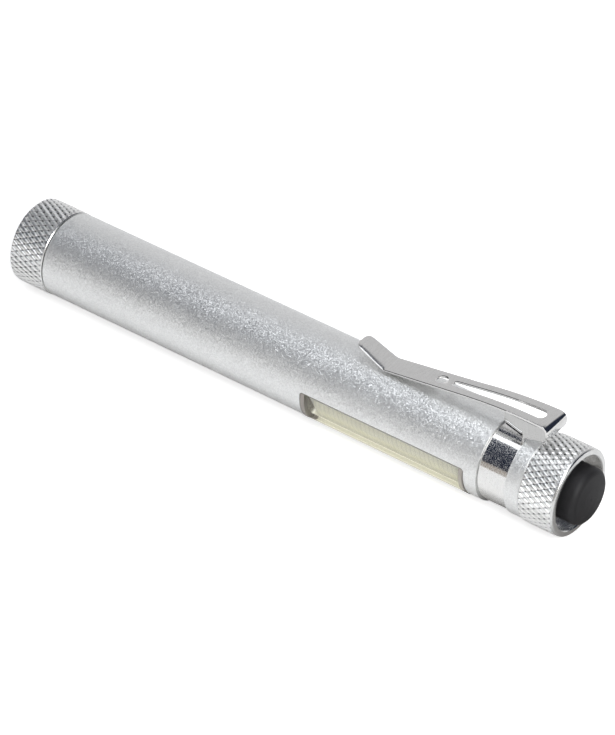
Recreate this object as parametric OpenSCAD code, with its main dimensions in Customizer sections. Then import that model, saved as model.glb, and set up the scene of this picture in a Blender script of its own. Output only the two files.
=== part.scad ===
// Penlight with a front lamp, a strip lamp in its side, a screwed head and tail and a spring clip.
// It lies along X with its head at -X and its clip upwards. The origin is on the axis,
// half way between the rim of the head and the rim of the tail.

/* [Barrel] */
// Wall of the barrel
barrel_wall = 1.8; // [1.7:0.05:2]
// Bevel round the front edge of the barrel
barrel_bevel = 0.25; // [0.1:0.05:0.4]
// Depth to which the tail end is turned down for the clip's band and the collar
neck_depth = 1.02; // [0.9:0.02:1.1]
// Width of the seam beside each screwed end
seam = 0.12; // [0.05:0.01:0.3]

/* [Knurled ends] */
// How far the knurling's crests stand proud of the barrel
crest_proud = 0.15; // [0.05:0.05:0.4]
// Depth of the knurling's grooves
knurl_depth = 0.36; // [0.2:0.02:0.45]
// Distance between crests, measured round the ring
knurl_pitch = 1.36; // [1.1:0.02:2]
// Angle of the grooves to the axis
knurl_angle = 30; // [25:1:40]
// Length of the head's ring
head_l = 8.4; // [7.5:0.1:11]
// Floor of the tail's ring, between the button's chamber and the barrel
tail_floor_t = 1.5; // [1.2:0.1:3]
// Bevel of each ring beside its seam
ring_bevel = 0.4; // [0.2:0.05:0.6]
// Rounding of each ring at its rim
rim_round = 0.5; // [0.3:0.05:0.7]
// Plain land at each end of the knurling
ring_land = 0.15; // [0.1:0.05:0.4]

/* [Screwed spigots] */
// Play of each spigot in the bore, on the radius
thread_play = 0.05; // [0.02:0.01:0.1]
// Wall of the tail's spigot
spigot_wall = 1.1; // [1.05:0.05:1.2]
// Thickness of the cord of the sealing rings
seal_cord = 0.7; // [0.5:0.05:0.75]
// Distance from each shoulder to its sealing ring's groove
seal_inset = 1; // [0.8:0.1:1.4]
// Play beside a sealing ring in its groove
seal_play = 0.12; // [0.1:0.01:0.3]
// Distance between thread turns
thread_pitch = 1; // [0.8:0.05:1.25]
// Turns that each screwed end makes before it comes free
thread_turns = 4; // [3:1:5]

/* [Head] */
// Width of the lip that holds the lens
lip_w = 0.75; // [0.6:0.05:1]
// Width of the rim round the flare
rim_w = 1.85; // [1.3:0.05:2.4]
// Depth of the flare
flare_depth = 1.2; // [0.6:0.1:1.6]
// Thickness of the lip that holds the lens
lip_t = 0.4; // [0.3:0.05:0.6]
// Thickness of the lens gasket
gasket_t = 0.5; // [0.3:0.1:0.8]
// Thickness of the lens
lens_t = 1.5; // [1:0.1:2]
// Length of the reflector
reflector_l = 5.5; // [4.5:0.1:6]
// Wall of the reflector at its mouth
cup_wall = 0.8; // [0.7:0.05:1.2]
// Radius of the reflector's throat
cup_throat_r = 1.9; // [1.7:0.1:2.2]
// Thickness of the lamp's board
led_board_t = 1.2; // [0.8:0.1:1.6]
// Length of the metal pill behind the board
pill_l = 2.8; // [2:0.1:3.2]
// Thickness of the insulator behind the pill
insulator_t = 1.5; // [1.2:0.1:2]
// How far the front contact stands out of the insulator
contact_out = 0.7; // [0.5:0.1:1]

/* [Strip lamp] */
// Length of the window
window_l = 39.4; // [36:0.1:42]
// Width of the window
window_w = 9.8; // [9.6:0.1:10.2]
// Distance from the window to the clip's band
window_to_band = 2.9; // [2.6:0.1:6]
// Turn of the window from the clip, round the axis
window_turn = 115; // [105:1:140]
// Width of the ledge that the cover sits on
ledge_w = 0.8; // [0.7:0.05:0.85]
// Depth of the ledge below the barrel's surface
ledge_depth = 2.4; // [2.2:0.05:2.5]
// Wall of the cover along its sides
cover_wall = 0.8; // [0.5:0.05:0.8]
// Wall of the cover at its two ends
cover_end = 1.2; // [0.9:0.1:1.6]
// Thickness of the cover over the strip
cover_t = 1; // [0.8:0.05:1.05]
// How far the middle of the cover stands proud of the barrel
cover_proud = 0.2; // [0.1:0.05:0.3]
// How far the edges of the cover lie below the barrel's surface
cover_sink = 0.12; // [0.05:0.01:0.2]
// Air between the lit strip and its cover
strip_air = 0.7; // [0.6:0.05:1]
// Width of the strip's board
strip_board_w = 7.6; // [6.6:0.1:7.7]
// Thickness of the strip's board
strip_board_t = 1; // [0.8:0.05:1]
// Width of the lit strip
strip_w = 5.4; // [4:0.1:5.5]
// Height of the lit strip on its board
strip_t = 0.5; // [0.3:0.05:0.5]

/* [Batteries] */
// Diameter of a cell
cell_d = 10.5; // [10.1:0.1:10.6]
// Length of a cell with its tip
cell_l = 44.5; // [44:0.1:44.6]
// Radius of a cell's tip
tip_r = 1.9; // [1.6:0.1:2.2]
// Height of a cell's tip
tip_h = 1.1; // [0.8:0.1:1.4]
// Play of the cells in the carrier, on the radius
cell_play = 0.2; // [0.1:0.05:0.25]
// Wall of the carrier below the strip's board
carrier_wall = 0.55; // [0.5:0.05:0.8]
// Length of the battery spring between its two ends
spring_l = 14.4; // [12:0.1:17]

/* [Tail] */
// Wall of the tail's ring at its mouth, from the knurling's crests
mouth_wall = 1.4; // [1.2:0.05:1.5]
// Depth of the mouth, down to the ring that holds the button
mouth_depth = 2.4; // [1.5:0.1:2.6]
// Step from the mouth down to the button's chamber
mouth_step = 0.15; // [0.1:0.05:0.3]
// Bevel inside the rim of the mouth
mouth_bevel = 0.2; // [0.1:0.05:0.3]
// Thickness of the ring that holds the button
button_ring_t = 1; // [0.7:0.1:1.1]
// Width of the ring that holds the button
button_ring_w = 1.75; // [1.6:0.05:2.2]
// How far the button stands out of the tail's rim
button_out = 2.6; // [2:0.1:4]
// Rounding of the button's edge
button_round = 1.3; // [0.8:0.1:1.8]
// Height of the button's crown
button_crown = 0.25; // [0.1:0.05:0.5]
// Thickness of the button's flange
flange_t = 0.9; // [0.6:0.1:1]
// Travel of the button
button_travel = 2; // [1:0.1:2]
// Length of the switch below the button's chamber
switch_l = 9; // [7:0.1:9.5]
// Radius of the switch's plunger
plunger_r = 1.6; // [1.2:0.1:2]
// Thickness of the tail's contact board
tail_board_t = 1; // [0.8:0.1:1.2]
// Thickness of the screw ring that holds the switch
lock_ring_t = 1.2; // [1:0.1:1.4]

/* [Clip] */
// Thickness of the clip's sheet
clip_t = 0.5; // [0.4:0.02:0.6]
// Width of the groove that the band turns in
groove_w = 6.5; // [5.8:0.1:7.5]
// Play of the band, on its radius and at each side
band_play = 0.06; // [0.04:0.01:0.1]
// Width of the clip at its root
root_w = 6.7; // [6.2:0.1:7.2]
// Width of the clip at its contact bend
contact_w = 4.9; // [4.6:0.1:5.2]
// Width of the clip at its tip
tip_w = 4.2; // [3.8:0.1:4.6]
// Width of the clip at its waist, where it starts to widen
waist_w = 5.3; // [5:0.1:5.8]
// Distance from the end wall to the waist
waist_reach = 19; // [17:0.5:22]
// Reach of the clip's end wall past the band's groove
root_reach = 5.6; // [5:0.1:6.4]
// Distance from the band's front edge to the line where the arm flexes
flex_in = 2.4; // [1.8:0.1:3]
// Height of the clip's back over the barrel
back_rise = 5.6; // [5:0.1:7]
// Distance from the end wall to the contact bend
contact_reach = 38.8; // [35:0.1:42]
// Gap between the contact bend and the barrel
contact_gap = 0.5; // [0.35:0.05:0.8]
// Length of the lifted tip
tip_l = 6.9; // [5:0.1:8]
// Lift of the tip over the contact bend
tip_lift = 2.95; // [1.5:0.05:4]
// Length of the bow from the arm to the back
bow_l = 15; // [10:0.5:17]
// Length of the slot
slot_l = 21.5; // [16:0.1:23]
// Width of the slot at its end beside the band
slot_w = 2.7; // [2:0.1:3]
// Width of the slot at its end beside the hole
slot_narrow_w = 1.6; // [1.2:0.1:2]
// Distance from the slot to the end wall
slot_in = 2.4; // [2.2:0.1:5]
// Diameter of the round hole
hole_d = 2.5; // [2:0.1:2.8]
// Bridge between the hole and the slot
hole_bridge = 1.35; // [1:0.05:2]
// Turn of the cheek under the clip's near edge
cheek_turn = 8; // [5:0.5:9]

/* [Collar] */
// Length of the collar behind the clip's band
collar_l = 3.2; // [2.8:0.1:4]
// Step from the barrel down to the collar, on the radius
collar_step = 0.1; // [0.05:0.01:0.2]

/* [Hidden] */
$fn = 96;

// Overrun of every cut past the face that it opens
cut = 0.5;
// Play of a piece that is fixed in its seat, on the radius
seat_play = 0.02;
// Steps of a rounded corner
round_steps = 6;

// Radii that several pieces share
carrier_in_r = cell_d / 2 + cell_play;
strip_out = carrier_in_r + carrier_wall;
barrel_r = strip_out + strip_board_t + strip_t + strip_air + cover_t - cover_proud;
bore_r = barrel_r - barrel_wall;
neck_r = barrel_r - neck_depth;
crest_r = barrel_r + crest_proud;
ledge_out = barrel_r - ledge_depth;
spigot_r = bore_r - thread_play;
inner_r = spigot_r - spigot_wall;
core_in_r = inner_r - seat_play;
aperture_r = inner_r - lip_w;
flare_r = crest_r - rim_w;
cup_mouth_r = core_in_r - cup_wall;
mouth_r = crest_r - mouth_wall;
chamber_r = mouth_r - mouth_step;
button_r = chamber_r - button_ring_w;

// Lengths of what lies between the rims: the head's stack, the cells, the spring and the tail's stack
floor_play = 0.2;
head_stack_l = flare_depth + lip_t + gasket_t + lens_t + reflector_l + led_board_t + pill_l + insulator_t
    + contact_out;
chamber_l = mouth_depth + button_ring_t + flange_t + button_travel + floor_play;
tail_stack_l = chamber_l + switch_l + tail_board_t;
tail_l = chamber_l + tail_floor_t;
half_l = (head_stack_l + 2 * cell_l + spring_l + tail_stack_l) / 2;
barrel_l = 2 * half_l - head_l - tail_l - 2 * seam - groove_w - collar_l;

// Stations along the axis
x_rim = half_l;
x_tail = x_rim - tail_l;
x_collar = x_tail - seam - collar_l;
x_band = x_collar - groove_w;
x_front = x_band - barrel_l;
x_head = x_front - seam;
x_lens_rim = -half_l;

// Stations of the head's stack, from the flare inwards
x_gasket = x_lens_rim + flare_depth + lip_t;
x_lens = x_gasket + gasket_t;
x_reflector = x_lens + lens_t;
x_led_board = x_reflector + reflector_l;
x_pill = x_led_board + led_board_t;
x_insulator = x_pill + pill_l;
x_insulator_end = x_insulator + insulator_t;
x_cell = x_insulator_end + contact_out;
x_head_spigot = x_cell - contact_out / 3;
x_cells_end = x_cell + 2 * cell_l;

// Stations of the tail's stack, from the mouth inwards
x_button_ring = x_rim - mouth_depth;
x_flange = x_button_ring - button_ring_t;
x_flange_in = x_flange - flange_t;
x_floor = x_rim - chamber_l;
x_switch_in = x_floor - switch_l;
x_tail_board = x_switch_in - tail_board_t;
x_tail_spigot = x_tail_board - lock_ring_t;

// Length of each half of a flute along the axis at the knurling's own angle
flute_l = knurl_pitch / tan(knurl_angle);
// How deep the knurling's ends are let into the lands, and its run-out below them
knurl_let_in = 0.1;
knurl_run_out = 0.05;
land_r = crest_r - knurl_run_out;
// Depth of the plain core below the knurling's grooves
core_depth = 0.2;

// A solid turned about the X axis, from points of radius and station
module turned(points) {
    rotate([0, 90, 0]) rotate_extrude() polygon(points);
}

// A drawing of width and height, drawn out along X from x0 to x1
module lengthwise(x0, x1) {
    translate([x0, 0, 0]) rotate([90, 0, 90]) linear_extrude(x1 - x0) children();
}

// A drawing of X and height, drawn out to both sides of the middle
module across(w) {
    translate([0, w / 2, 0]) rotate([90, 0, 0]) linear_extrude(w) children();
}

// A disc with a square edge between two stations
module disc(r, x0, x1) {
    turned([[0, x0], [r, x0], [r, x1], [0, x1]]);
}

// Points of a quarter round from the radius r at station x, opening along way
function quarter(r, x, e, way) = [for (i = [0:round_steps]) let (a = 90 * i / round_steps)
    [r - e + e * cos(a), x - way * e + way * e * sin(a)]];

// Rounding of one corner b between its neighbours a and c
function side_of(a, b, c) = sign((b[0] - a[0]) * (c[1] - b[1]) - (b[1] - a[1]) * (c[0] - b[0]));
function unit(v) = v / norm(v);
function left_of(v) = [-v[1], v[0]];
function turn_of(a, b, c) = acos(min(1, max(-1, unit(b - a) * unit(c - b))));
function rounded_corner(a, b, c, r, n) = r <= 0 ? [b] :
    let (s = side_of(a, b, c), t = turn_of(a, b, c), u = unit(b - a),
        start = b - u * r * tan(t / 2), centre = start + s * left_of(u) * r)
    [for (i = [0:n]) let (q = s * t * i / n, v = start - centre)
        centre + [v[0] * cos(q) - v[1] * sin(q), v[0] * sin(q) + v[1] * cos(q)]];

// A closed outline with each corner rounded by its own radius
function rounded_outline(p, r) = [for (i = [0:len(p) - 1])
    each rounded_corner(p[(i + len(p) - 1) % len(p)], p[i], p[(i + 1) % len(p)], r[i], round_steps)];

// One face of a bent sheet, at the distance d to the left of its middle line
function sheet_face(p, r, d, n) = let (last = len(p) - 1,
        q = [for (i = [0:last])
            i == 0 ? p[0] + left_of(unit(p[1] - p[0])) * d :
            i == last ? p[last] + left_of(unit(p[last] - p[last - 1])) * d :
            let (n0 = left_of(unit(p[i] - p[i - 1])), n1 = left_of(unit(p[i + 1] - p[i])))
                p[i] + (n0 + n1) * d / (1 + n0 * n1)])
    [for (i = [0:last]) each (i == 0 || i == last) ? [q[i]] :
        rounded_corner(q[i - 1], q[i], q[i + 1], r[i] - side_of(p[i - 1], p[i], p[i + 1]) * d, n)];

// The outline of a bent sheet of thickness t about its middle line
function bent_sheet(p, r, t, n) = let (far = sheet_face(p, r, -t / 2, n))
    concat(sheet_face(p, r, t / 2, n), [for (i = [len(far) - 1:-1:0]) far[i]]);

// Outside of a knurled ring from its seam to its rim, without the knurling itself
function ring_outside(x_seam, way, ring_l) = let (
        z0 = x_seam + way * (ring_bevel + ring_land),
        z1 = x_seam + way * (ring_l - rim_round - ring_land),
        core_r = crest_r - knurl_depth - core_depth)
    concat([[land_r - ring_bevel, x_seam], [land_r, x_seam + way * ring_bevel], [land_r, z0], [core_r, z0],
        [core_r, z1], [land_r, z1]], quarter(land_r, x_seam + way * ring_l, rim_round, way));

// Diamond knurling as one closed sleeve: crests and groove crossings take turns along and round it,
// and each crest slopes down to the four crossings beside it
module knurling(x_seam, way, ring_l) {
    za = x_seam + way * (ring_bevel + ring_land - knurl_let_in);
    zb = x_seam + way * (ring_l - rim_round - ring_land + knurl_let_in);
    x0 = min(za, zb);
    zone = abs(zb - za);
    rows = 2 * max(1, round(zone / flute_l));
    around = 2 * max(3, round(2 * PI * crest_r / knurl_pitch));
    sleeve_in = crest_r - knurl_depth - 2 * core_depth;
    outer = [for (k = [0:rows], j = [0:around - 1])
        let (r = (k + j) % 2 == 0 ? crest_r - knurl_depth :
            (k == 0 || k == rows) ? land_r - knurl_run_out : crest_r, a = 360 * j / around)
        [x0 + zone * k / rows, r * cos(a), r * sin(a)]];
    inner = [for (k = [0, rows], j = [0:around - 1]) let (a = 360 * j / around)
        [x0 + zone * k / rows, sleeve_in * cos(a), sleeve_in * sin(a)]];
    first = len(outer);
    function o(k, j) = k * around + j % around;
    function i(k, j) = first + k * around + j % around;
    polyhedron(concat(outer, inner), concat(
        [for (k = [0:rows - 1], j = [0:around - 1]) (k + j) % 2 == 0 ?
            [o(k, j), o(k + 1, j), o(k + 1, j + 1)] : [o(k, j), o(k + 1, j), o(k, j + 1)]],
        [for (k = [0:rows - 1], j = [0:around - 1]) (k + j) % 2 == 0 ?
            [o(k, j), o(k + 1, j + 1), o(k, j + 1)] : [o(k + 1, j), o(k + 1, j + 1), o(k, j + 1)]],
        [for (j = [0:around - 1]) [o(0, j), o(0, j + 1), i(0, j + 1), i(0, j)]],
        [for (j = [0:around - 1]) [o(rows, j), i(1, j), i(1, j + 1), o(rows, j + 1)]],
        [for (j = [0:around - 1]) [i(0, j), i(0, j + 1), i(1, j + 1), i(1, j)]]));
}

// Outside of a screwed spigot from its free end to its shoulder, with the groove of its sealing ring
seal_r = spigot_r + thread_play - seal_cord / 2 - seat_play;
seal_floor = seal_r - seal_cord / 2 - seat_play;
spigot_bevel = 0.3;
function spigot_outside(x_end, x_shoulder, way) = let (
        g1 = x_shoulder - way * seal_inset,
        g0 = g1 - way * (seal_cord + 2 * seal_play))
    [[spigot_r - spigot_bevel, x_end], [spigot_r, x_end + way * spigot_bevel], [spigot_r, g0],
        [seal_floor, g0], [seal_floor, g1], [spigot_r, g1], [spigot_r, x_shoulder]];

module seal(x_shoulder, way) {
    x = x_shoulder - way * (seal_inset + seal_cord / 2 + seal_play);
    translate([x, 0, 0]) rotate([0, 90, 0]) rotate_extrude() translate([seal_r, 0]) circle(seal_cord / 2);
}

// Head: the ring with its flare, lip and spigot
module head_ring() {
    color("gainsboro") union() {
        turned(concat(
            [[inner_r, x_head_spigot]],
            spigot_outside(x_head_spigot, x_head, -1),
            ring_outside(x_head, -1, head_l),
            [[flare_r, x_lens_rim], [aperture_r, x_lens_rim + flare_depth], [aperture_r, x_gasket],
                [inner_r, x_gasket]]));
        knurling(x_head, -1, head_l);
    }
}

module lens_gasket() {
    color("dimgray") turned([[aperture_r, x_gasket], [core_in_r, x_gasket], [core_in_r, x_lens],
        [aperture_r, x_lens]]);
}

lens_bevel = 0.2;
module head_lens() {
    color("white", 0.4) turned([[0, x_lens], [core_in_r - lens_bevel, x_lens],
        [core_in_r, x_lens + lens_bevel], [core_in_r, x_reflector], [0, x_reflector]]);
}

// Reflector: a parabola from the mouth to the throat
cup_steps = 12;
reflector_rim = 0.8;
reflector_waist = 1;
module reflector() {
    color("silver") turned(concat(
        [for (i = [0:cup_steps]) let (s = i / cup_steps)
            [sqrt(cup_throat_r ^ 2 + (cup_mouth_r ^ 2 - cup_throat_r ^ 2) * (1 - s)),
                x_reflector + reflector_l * s]],
        [[core_in_r, x_led_board], [core_in_r, x_led_board - reflector_rim],
            [core_in_r - reflector_waist / 2, x_led_board - 2 * reflector_rim],
            [core_in_r - reflector_waist / 2, x_reflector + 2 * reflector_rim],
            [core_in_r, x_reflector + reflector_rim], [core_in_r, x_reflector]]));
}

led_w = 2.6;
led_t = 0.6;
led_dome_r = 1.1;
module head_led() {
    color("khaki") intersection() {
        union() {
            translate([x_led_board - led_t, -led_w / 2, -led_w / 2]) cube([led_t, led_w, led_w]);
            translate([x_led_board - led_t, 0, 0]) sphere(led_dome_r);
        }
        disc(led_w, x_led_board - led_t - led_dome_r, x_led_board);
    }
}

wire_notch_r = 0.6;
module led_board() {
    color("white") difference() {
        disc(core_in_r, x_led_board, x_pill);
        for (s = [-1, 1]) translate([0, s * core_in_r, 0])
            lengthwise(x_led_board - cut, x_pill + cut) circle(wire_notch_r);
    }
}

contact_r = 1.5;
contact_head_r = 2.4;
contact_head_t = 0.5;
module led_pill() {
    color("goldenrod") turned([[contact_r + cell_play, x_pill], [core_in_r, x_pill], [core_in_r, x_insulator],
        [contact_r + cell_play, x_insulator]]);
}

insulator_skirt = 0.6;
module contact_insulator() {
    color("darkslategray") turned([[contact_r + seat_play, x_insulator], [core_in_r, x_insulator],
        [core_in_r, x_insulator_end], [core_in_r - insulator_skirt, x_insulator_end],
        [core_in_r - insulator_skirt, x_insulator_end - contact_head_t],
        [contact_r + seat_play, x_insulator_end - contact_head_t]]);
}

module front_contact() {
    x_stem = x_pill + contact_head_t;
    x_seat = x_insulator_end - contact_head_t;
    color("gold") turned(concat([[0, x_stem], [contact_r, x_stem], [contact_r, x_seat],
        [contact_head_r, x_seat], [contact_head_r, x_insulator_end]],
        [[contact_r, x_cell], [0, x_cell]]));
}

module head_seal() {
    color("black") seal(x_head, -1);
}

// Frame of the side window: X along it, Y across it and Z out of the barrel
x_window_1 = x_band - window_to_band;
x_window_0 = x_window_1 - window_l;
module facing_window() {
    rotate([window_turn, 0, 0]) children();
}

// A prism with rounded corners, out of the barrel between two distances from the axis
module window_prism(x0, x1, w, r, z0, z1) {
    translate([(x0 + x1) / 2, 0, z0]) linear_extrude(z1 - z0) rounded_plate(x1 - x0, w, r);
}
module rounded_plate(l, w, r) {
    square([l - 2 * r, w], center = true);
    square([l, w - 2 * r], center = true);
    for (x = [-1, 1], y = [-1, 1]) translate([x * (l / 2 - r), y * (w / 2 - r)]) circle(r);
}

window_round = 0.6;
barrel_end = x_tail - 2 * seam;
module barrel() {
    color("silver") difference() {
        turned([[bore_r, x_front], [barrel_r - barrel_bevel, x_front], [barrel_r, x_front + barrel_bevel],
            [barrel_r, x_band], [neck_r, x_band], [neck_r, barrel_end], [bore_r, barrel_end]]);
        facing_window() {
            window_prism(x_window_0, x_window_1, window_w, window_round, ledge_out, barrel_r + cut);
            window_prism(x_window_0 + ledge_w, x_window_1 - ledge_w, window_w - 2 * ledge_w, window_round,
                0, barrel_r + cut);
        }
    }
}

// Cover of the strip: a shallow clear tray with an arched top, whose skirt stands on the ledge
cover_play = 0.05;
cover_half = window_w / 2 - cover_play;
cover_edge_z = sqrt(barrel_r ^ 2 - cover_half ^ 2) - cover_sink;
cover_rise = barrel_r + cover_proud - cover_edge_z;
cover_arc_r = (cover_half ^ 2 + cover_rise ^ 2) / (2 * cover_rise);
cover_arc_z = barrel_r + cover_proud - cover_arc_r;
module strip_cover() {
    color("whitesmoke", 0.5) facing_window() difference() {
        intersection() {
            window_prism(x_window_0 + cover_play, x_window_1 - cover_play, 2 * cover_half, window_round,
                ledge_out, barrel_r + cover_proud + cut);
            translate([0, 0, cover_arc_z]) lengthwise(x_window_0, x_window_1) circle(cover_arc_r);
        }
        intersection() {
            window_prism(x_window_0 + cover_end, x_window_1 - cover_end, 2 * (cover_half - cover_wall),
                window_round / 2, ledge_out - cut, barrel_r);
            translate([0, 0, cover_arc_z]) lengthwise(x_window_0, x_window_1) circle(cover_arc_r - cover_t);
        }
    }
}

strip_end_gap = 0.3;
x_strip_0 = x_window_0 + cover_end + strip_end_gap;
x_strip_1 = x_window_1 - cover_end - strip_end_gap;
board_round = 0.4;
module strip_board() {
    color("ivory") facing_window()
        window_prism(x_strip_0, x_strip_1, strip_board_w, board_round, strip_out, strip_out + strip_board_t);
}

strip_margin = 0.8;
module strip_lamp() {
    lamp_z = strip_out + strip_board_t;
    lamp_r = (strip_w ^ 2 / 4 + strip_t ^ 2) / (2 * strip_t);
    color("lightyellow") facing_window() intersection() {
        window_prism(x_strip_0 + strip_margin, x_strip_1 - strip_margin, strip_w, board_round,
            lamp_z, lamp_z + strip_t);
        translate([0, 0, lamp_z + strip_t - lamp_r]) lengthwise(x_strip_0, x_strip_1) circle(lamp_r);
    }
}

// Carrier of the cells: a plastic tube with a flat for the strip's board
carrier_end_gap = 0.3;
carrier_bevel = 0.4;
x_carrier_0 = x_head_spigot + carrier_end_gap;
x_carrier_1 = x_tail_spigot - carrier_end_gap;
carrier_r = bore_r - 2 * seat_play;
module battery_carrier() {
    color("dimgray") difference() {
        turned([[carrier_in_r, x_carrier_0], [carrier_r - carrier_bevel, x_carrier_0],
            [carrier_r, x_carrier_0 + carrier_bevel], [carrier_r, x_carrier_1 - carrier_bevel],
            [carrier_r - carrier_bevel, x_carrier_1], [carrier_in_r, x_carrier_1]]);
        facing_window() translate([x_window_0 - strip_end_gap, -bore_r, strip_out])
            cube([window_l + 2 * strip_end_gap, 2 * bore_r, bore_r]);
    }
}

// A dry cell with its tip towards the head
cell_round = 0.5;
cell_dish = 0.3;
module cell(x0) {
    cell_r = cell_d / 2;
    turned(concat([[0, x0], [tip_r, x0], [tip_r, x0 + tip_h], [cell_r - cell_round, x0 + tip_h]],
        [for (i = [0:round_steps]) let (a = 90 * i / round_steps)
            [cell_r - cell_round + cell_round * sin(a), x0 + tip_h + cell_round - cell_round * cos(a)]],
        quarter(cell_r, x0 + cell_l, cell_round, 1),
        [[cell_r - 2 * cell_round, x0 + cell_l],
            [cell_r - 2 * cell_round - cell_dish, x0 + cell_l - cell_dish], [0, x0 + cell_l - cell_dish]]));
}
module front_battery() {
    color("seagreen") cell(x_cell);
}
module rear_battery() {
    color("seagreen") cell(x_cell + cell_l);
}

// Clip: the middle line of its sheet, from the lifted tip over the contact bend and the back
// to the foot of the end wall
x_end_wall = x_collar + root_reach - clip_t / 2;
back_z = barrel_r + back_rise;
x_flex = x_band + flex_in;
x_contact = x_end_wall - contact_reach;
back_mid = back_z - clip_t / 2;
contact_z = barrel_r + contact_gap + clip_t / 2;
contact_bend_r = 1.6;
end_bend_r = 1.2;
end_wall_h = 2.5;
bow_steps = 8;
// The straight arm and the flat back would meet at a corner, half way along the bow
x_bow = x_end_wall - end_bend_r - clip_t - bow_l / 2;
arm_slope = atan((back_mid - contact_z) / (x_bow - x_contact));
bow_r = bow_l / 2 / tan(arm_slope / 2);
clip_line = [[x_contact - tip_l, contact_z + tip_lift], [x_contact, contact_z], [x_bow, back_mid],
    [x_end_wall, back_mid], [x_end_wall, back_mid - end_wall_h]];
clip_bends = [0, contact_bend_r, bow_r, end_bend_r, 0];
module clip_sheet() {
    across(root_w) polygon(bent_sheet(clip_line, clip_bends, clip_t, bow_steps));
}

// Plan of the clip: tapered to the contact bend, with rounded ends, a slot and a round hole
tip_round = 1.4;
root_round = 1;
x_slot_1 = x_end_wall - slot_in;
x_slot_0 = x_slot_1 - slot_l;
x_hole = x_slot_0 - hole_bridge - hole_d / 2;
x_clip_tip = x_contact - tip_l - clip_t;
x_waist = x_end_wall - waist_reach;
x_plan_end = x_end_wall + clip_t / 2 - seat_play;
module clip_plan() {
    w = [tip_w / 2, contact_w / 2, waist_w / 2, root_w / 2];
    x = [x_clip_tip, x_contact, x_waist, x_plan_end];
    difference() {
        polygon(rounded_outline(concat([for (i = [0:3]) [x[i], -w[i]]], [for (i = [3:-1:0]) [x[i], w[i]]]),
            [tip_round, 0, 0, root_round, root_round, 0, 0, tip_round]));
        polygon(rounded_outline([[x_slot_0, -slot_narrow_w / 2], [x_slot_1, -slot_w / 2],
            [x_slot_1, slot_w / 2], [x_slot_0, slot_narrow_w / 2]],
            [slot_narrow_w / 2 - seat_play, slot_w / 2 - 3 * seat_play, slot_w / 2 - 3 * seat_play,
                slot_narrow_w / 2 - seat_play]));
        translate([x_hole, 0]) circle(hole_d / 2);
    }
}
module clip_blank() {
    intersection() {
        clip_sheet();
        linear_extrude(back_z + cut) clip_plan();
    }
}
module beside_flex(way) {
    reach = contact_reach + tip_l + groove_w + root_reach;
    translate([way > 0 ? x_flex : x_flex - reach, -root_w, 0]) cube([reach, 2 * root_w, back_z + cut]);
}

module clip_arm() {
    color("lightgray") intersection() {
        clip_blank();
        beside_flex(-1);
    }
}

// Root of the clip: the band round the neck, and one cheek that carries the back over the collar
band_in_r = neck_r + band_play;
band_out_r = band_in_r + clip_t;
x_band_0 = x_band + band_play;
x_band_1 = x_collar - band_play;
cheek_neck = 1;
cheek_front_h = 2.9;
cheek_waist_rise = 2.1;
lip_rise = 1.2;
cheek_corner = 1.4;
cheek_in = 0.08;
cheek_side = root_w / 2 - cheek_in - clip_t / 2;
// The cheek's inner face, where the cheek stands on the back edge of the band
foot_in = cheek_side - clip_t / 2 - (x_plan_end - x_band_1) * tan(cheek_turn);
module cheek_outline() {
    back = back_mid;
    waist_z = band_out_r + cheek_waist_rise;
    lip_z = crest_r + lip_rise;
    foot = sqrt((band_in_r + clip_t / 4) ^ 2 - foot_in ^ 2);
    x1 = x_end_wall + clip_t / 2 - 2 * seat_play;
    polygon(rounded_outline([
        [x_flex, back - clip_t], [x_flex, back - cheek_front_h],
        [x_band_1 - cheek_neck, waist_z], [x_band_1 - cheek_neck, foot], [x_band_1, foot],
        [x_band_1, lip_z - clip_t], [x_band_1 + cheek_neck, lip_z],
        [x1 - cheek_corner, lip_z], [x1, lip_z + cheek_corner], [x1, back - end_bend_r],
        [x1 - end_bend_r, back - clip_t / 2]],
        [0, 0.3 * clip_t, cheek_neck / 2, 0, 0, cheek_neck / 2, cheek_neck / 2, cheek_corner / 2,
            cheek_corner / 2, 0, 0]));
}
module clip_root() {
    color("lightgray") union() {
        intersection() {
            clip_blank();
            beside_flex(1);
        }
        turned([[band_in_r, x_band_0], [band_out_r, x_band_0], [band_out_r, x_band_1],
            [band_in_r, x_band_1]]);
        translate([x_plan_end, -cheek_side, 0]) rotate([0, 0, -cheek_turn])
            translate([-x_plan_end, 0, 0]) across(clip_t) cheek_outline();
    }
}

module tail_collar() {
    r = barrel_r - collar_step;
    x1 = x_tail - seam;
    b = collar_step;
    color("silver") turned([[neck_r + seat_play, x_collar], [r - b, x_collar], [r, x_collar + b], [r, x1 - b],
        [r - b, x1], [neck_r + seat_play, x1]]);
}

// Tail: the knurled cap with its mouth, the button's chamber and its spigot
module tail_cap() {
    color("gainsboro") union() {
        turned(concat(
            [[inner_r, x_tail_spigot]],
            spigot_outside(x_tail_spigot, x_tail, 1),
            ring_outside(x_tail, 1, tail_l),
            [[mouth_r + mouth_bevel, x_rim], [mouth_r, x_rim - mouth_bevel], [mouth_r, x_button_ring],
                [chamber_r, x_button_ring], [chamber_r, x_floor], [inner_r, x_floor]]));
        knurling(x_tail, 1, tail_l);
    }
}

module tail_seal() {
    color("black") seal(x_tail, 1);
}

button_play = 0.1;
module button_ring() {
    color("silver") turned([[button_r + button_play, x_flange], [chamber_r - seat_play, x_flange],
        [chamber_r - seat_play, x_button_ring], [button_r + button_play, x_button_ring]]);
}

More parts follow.
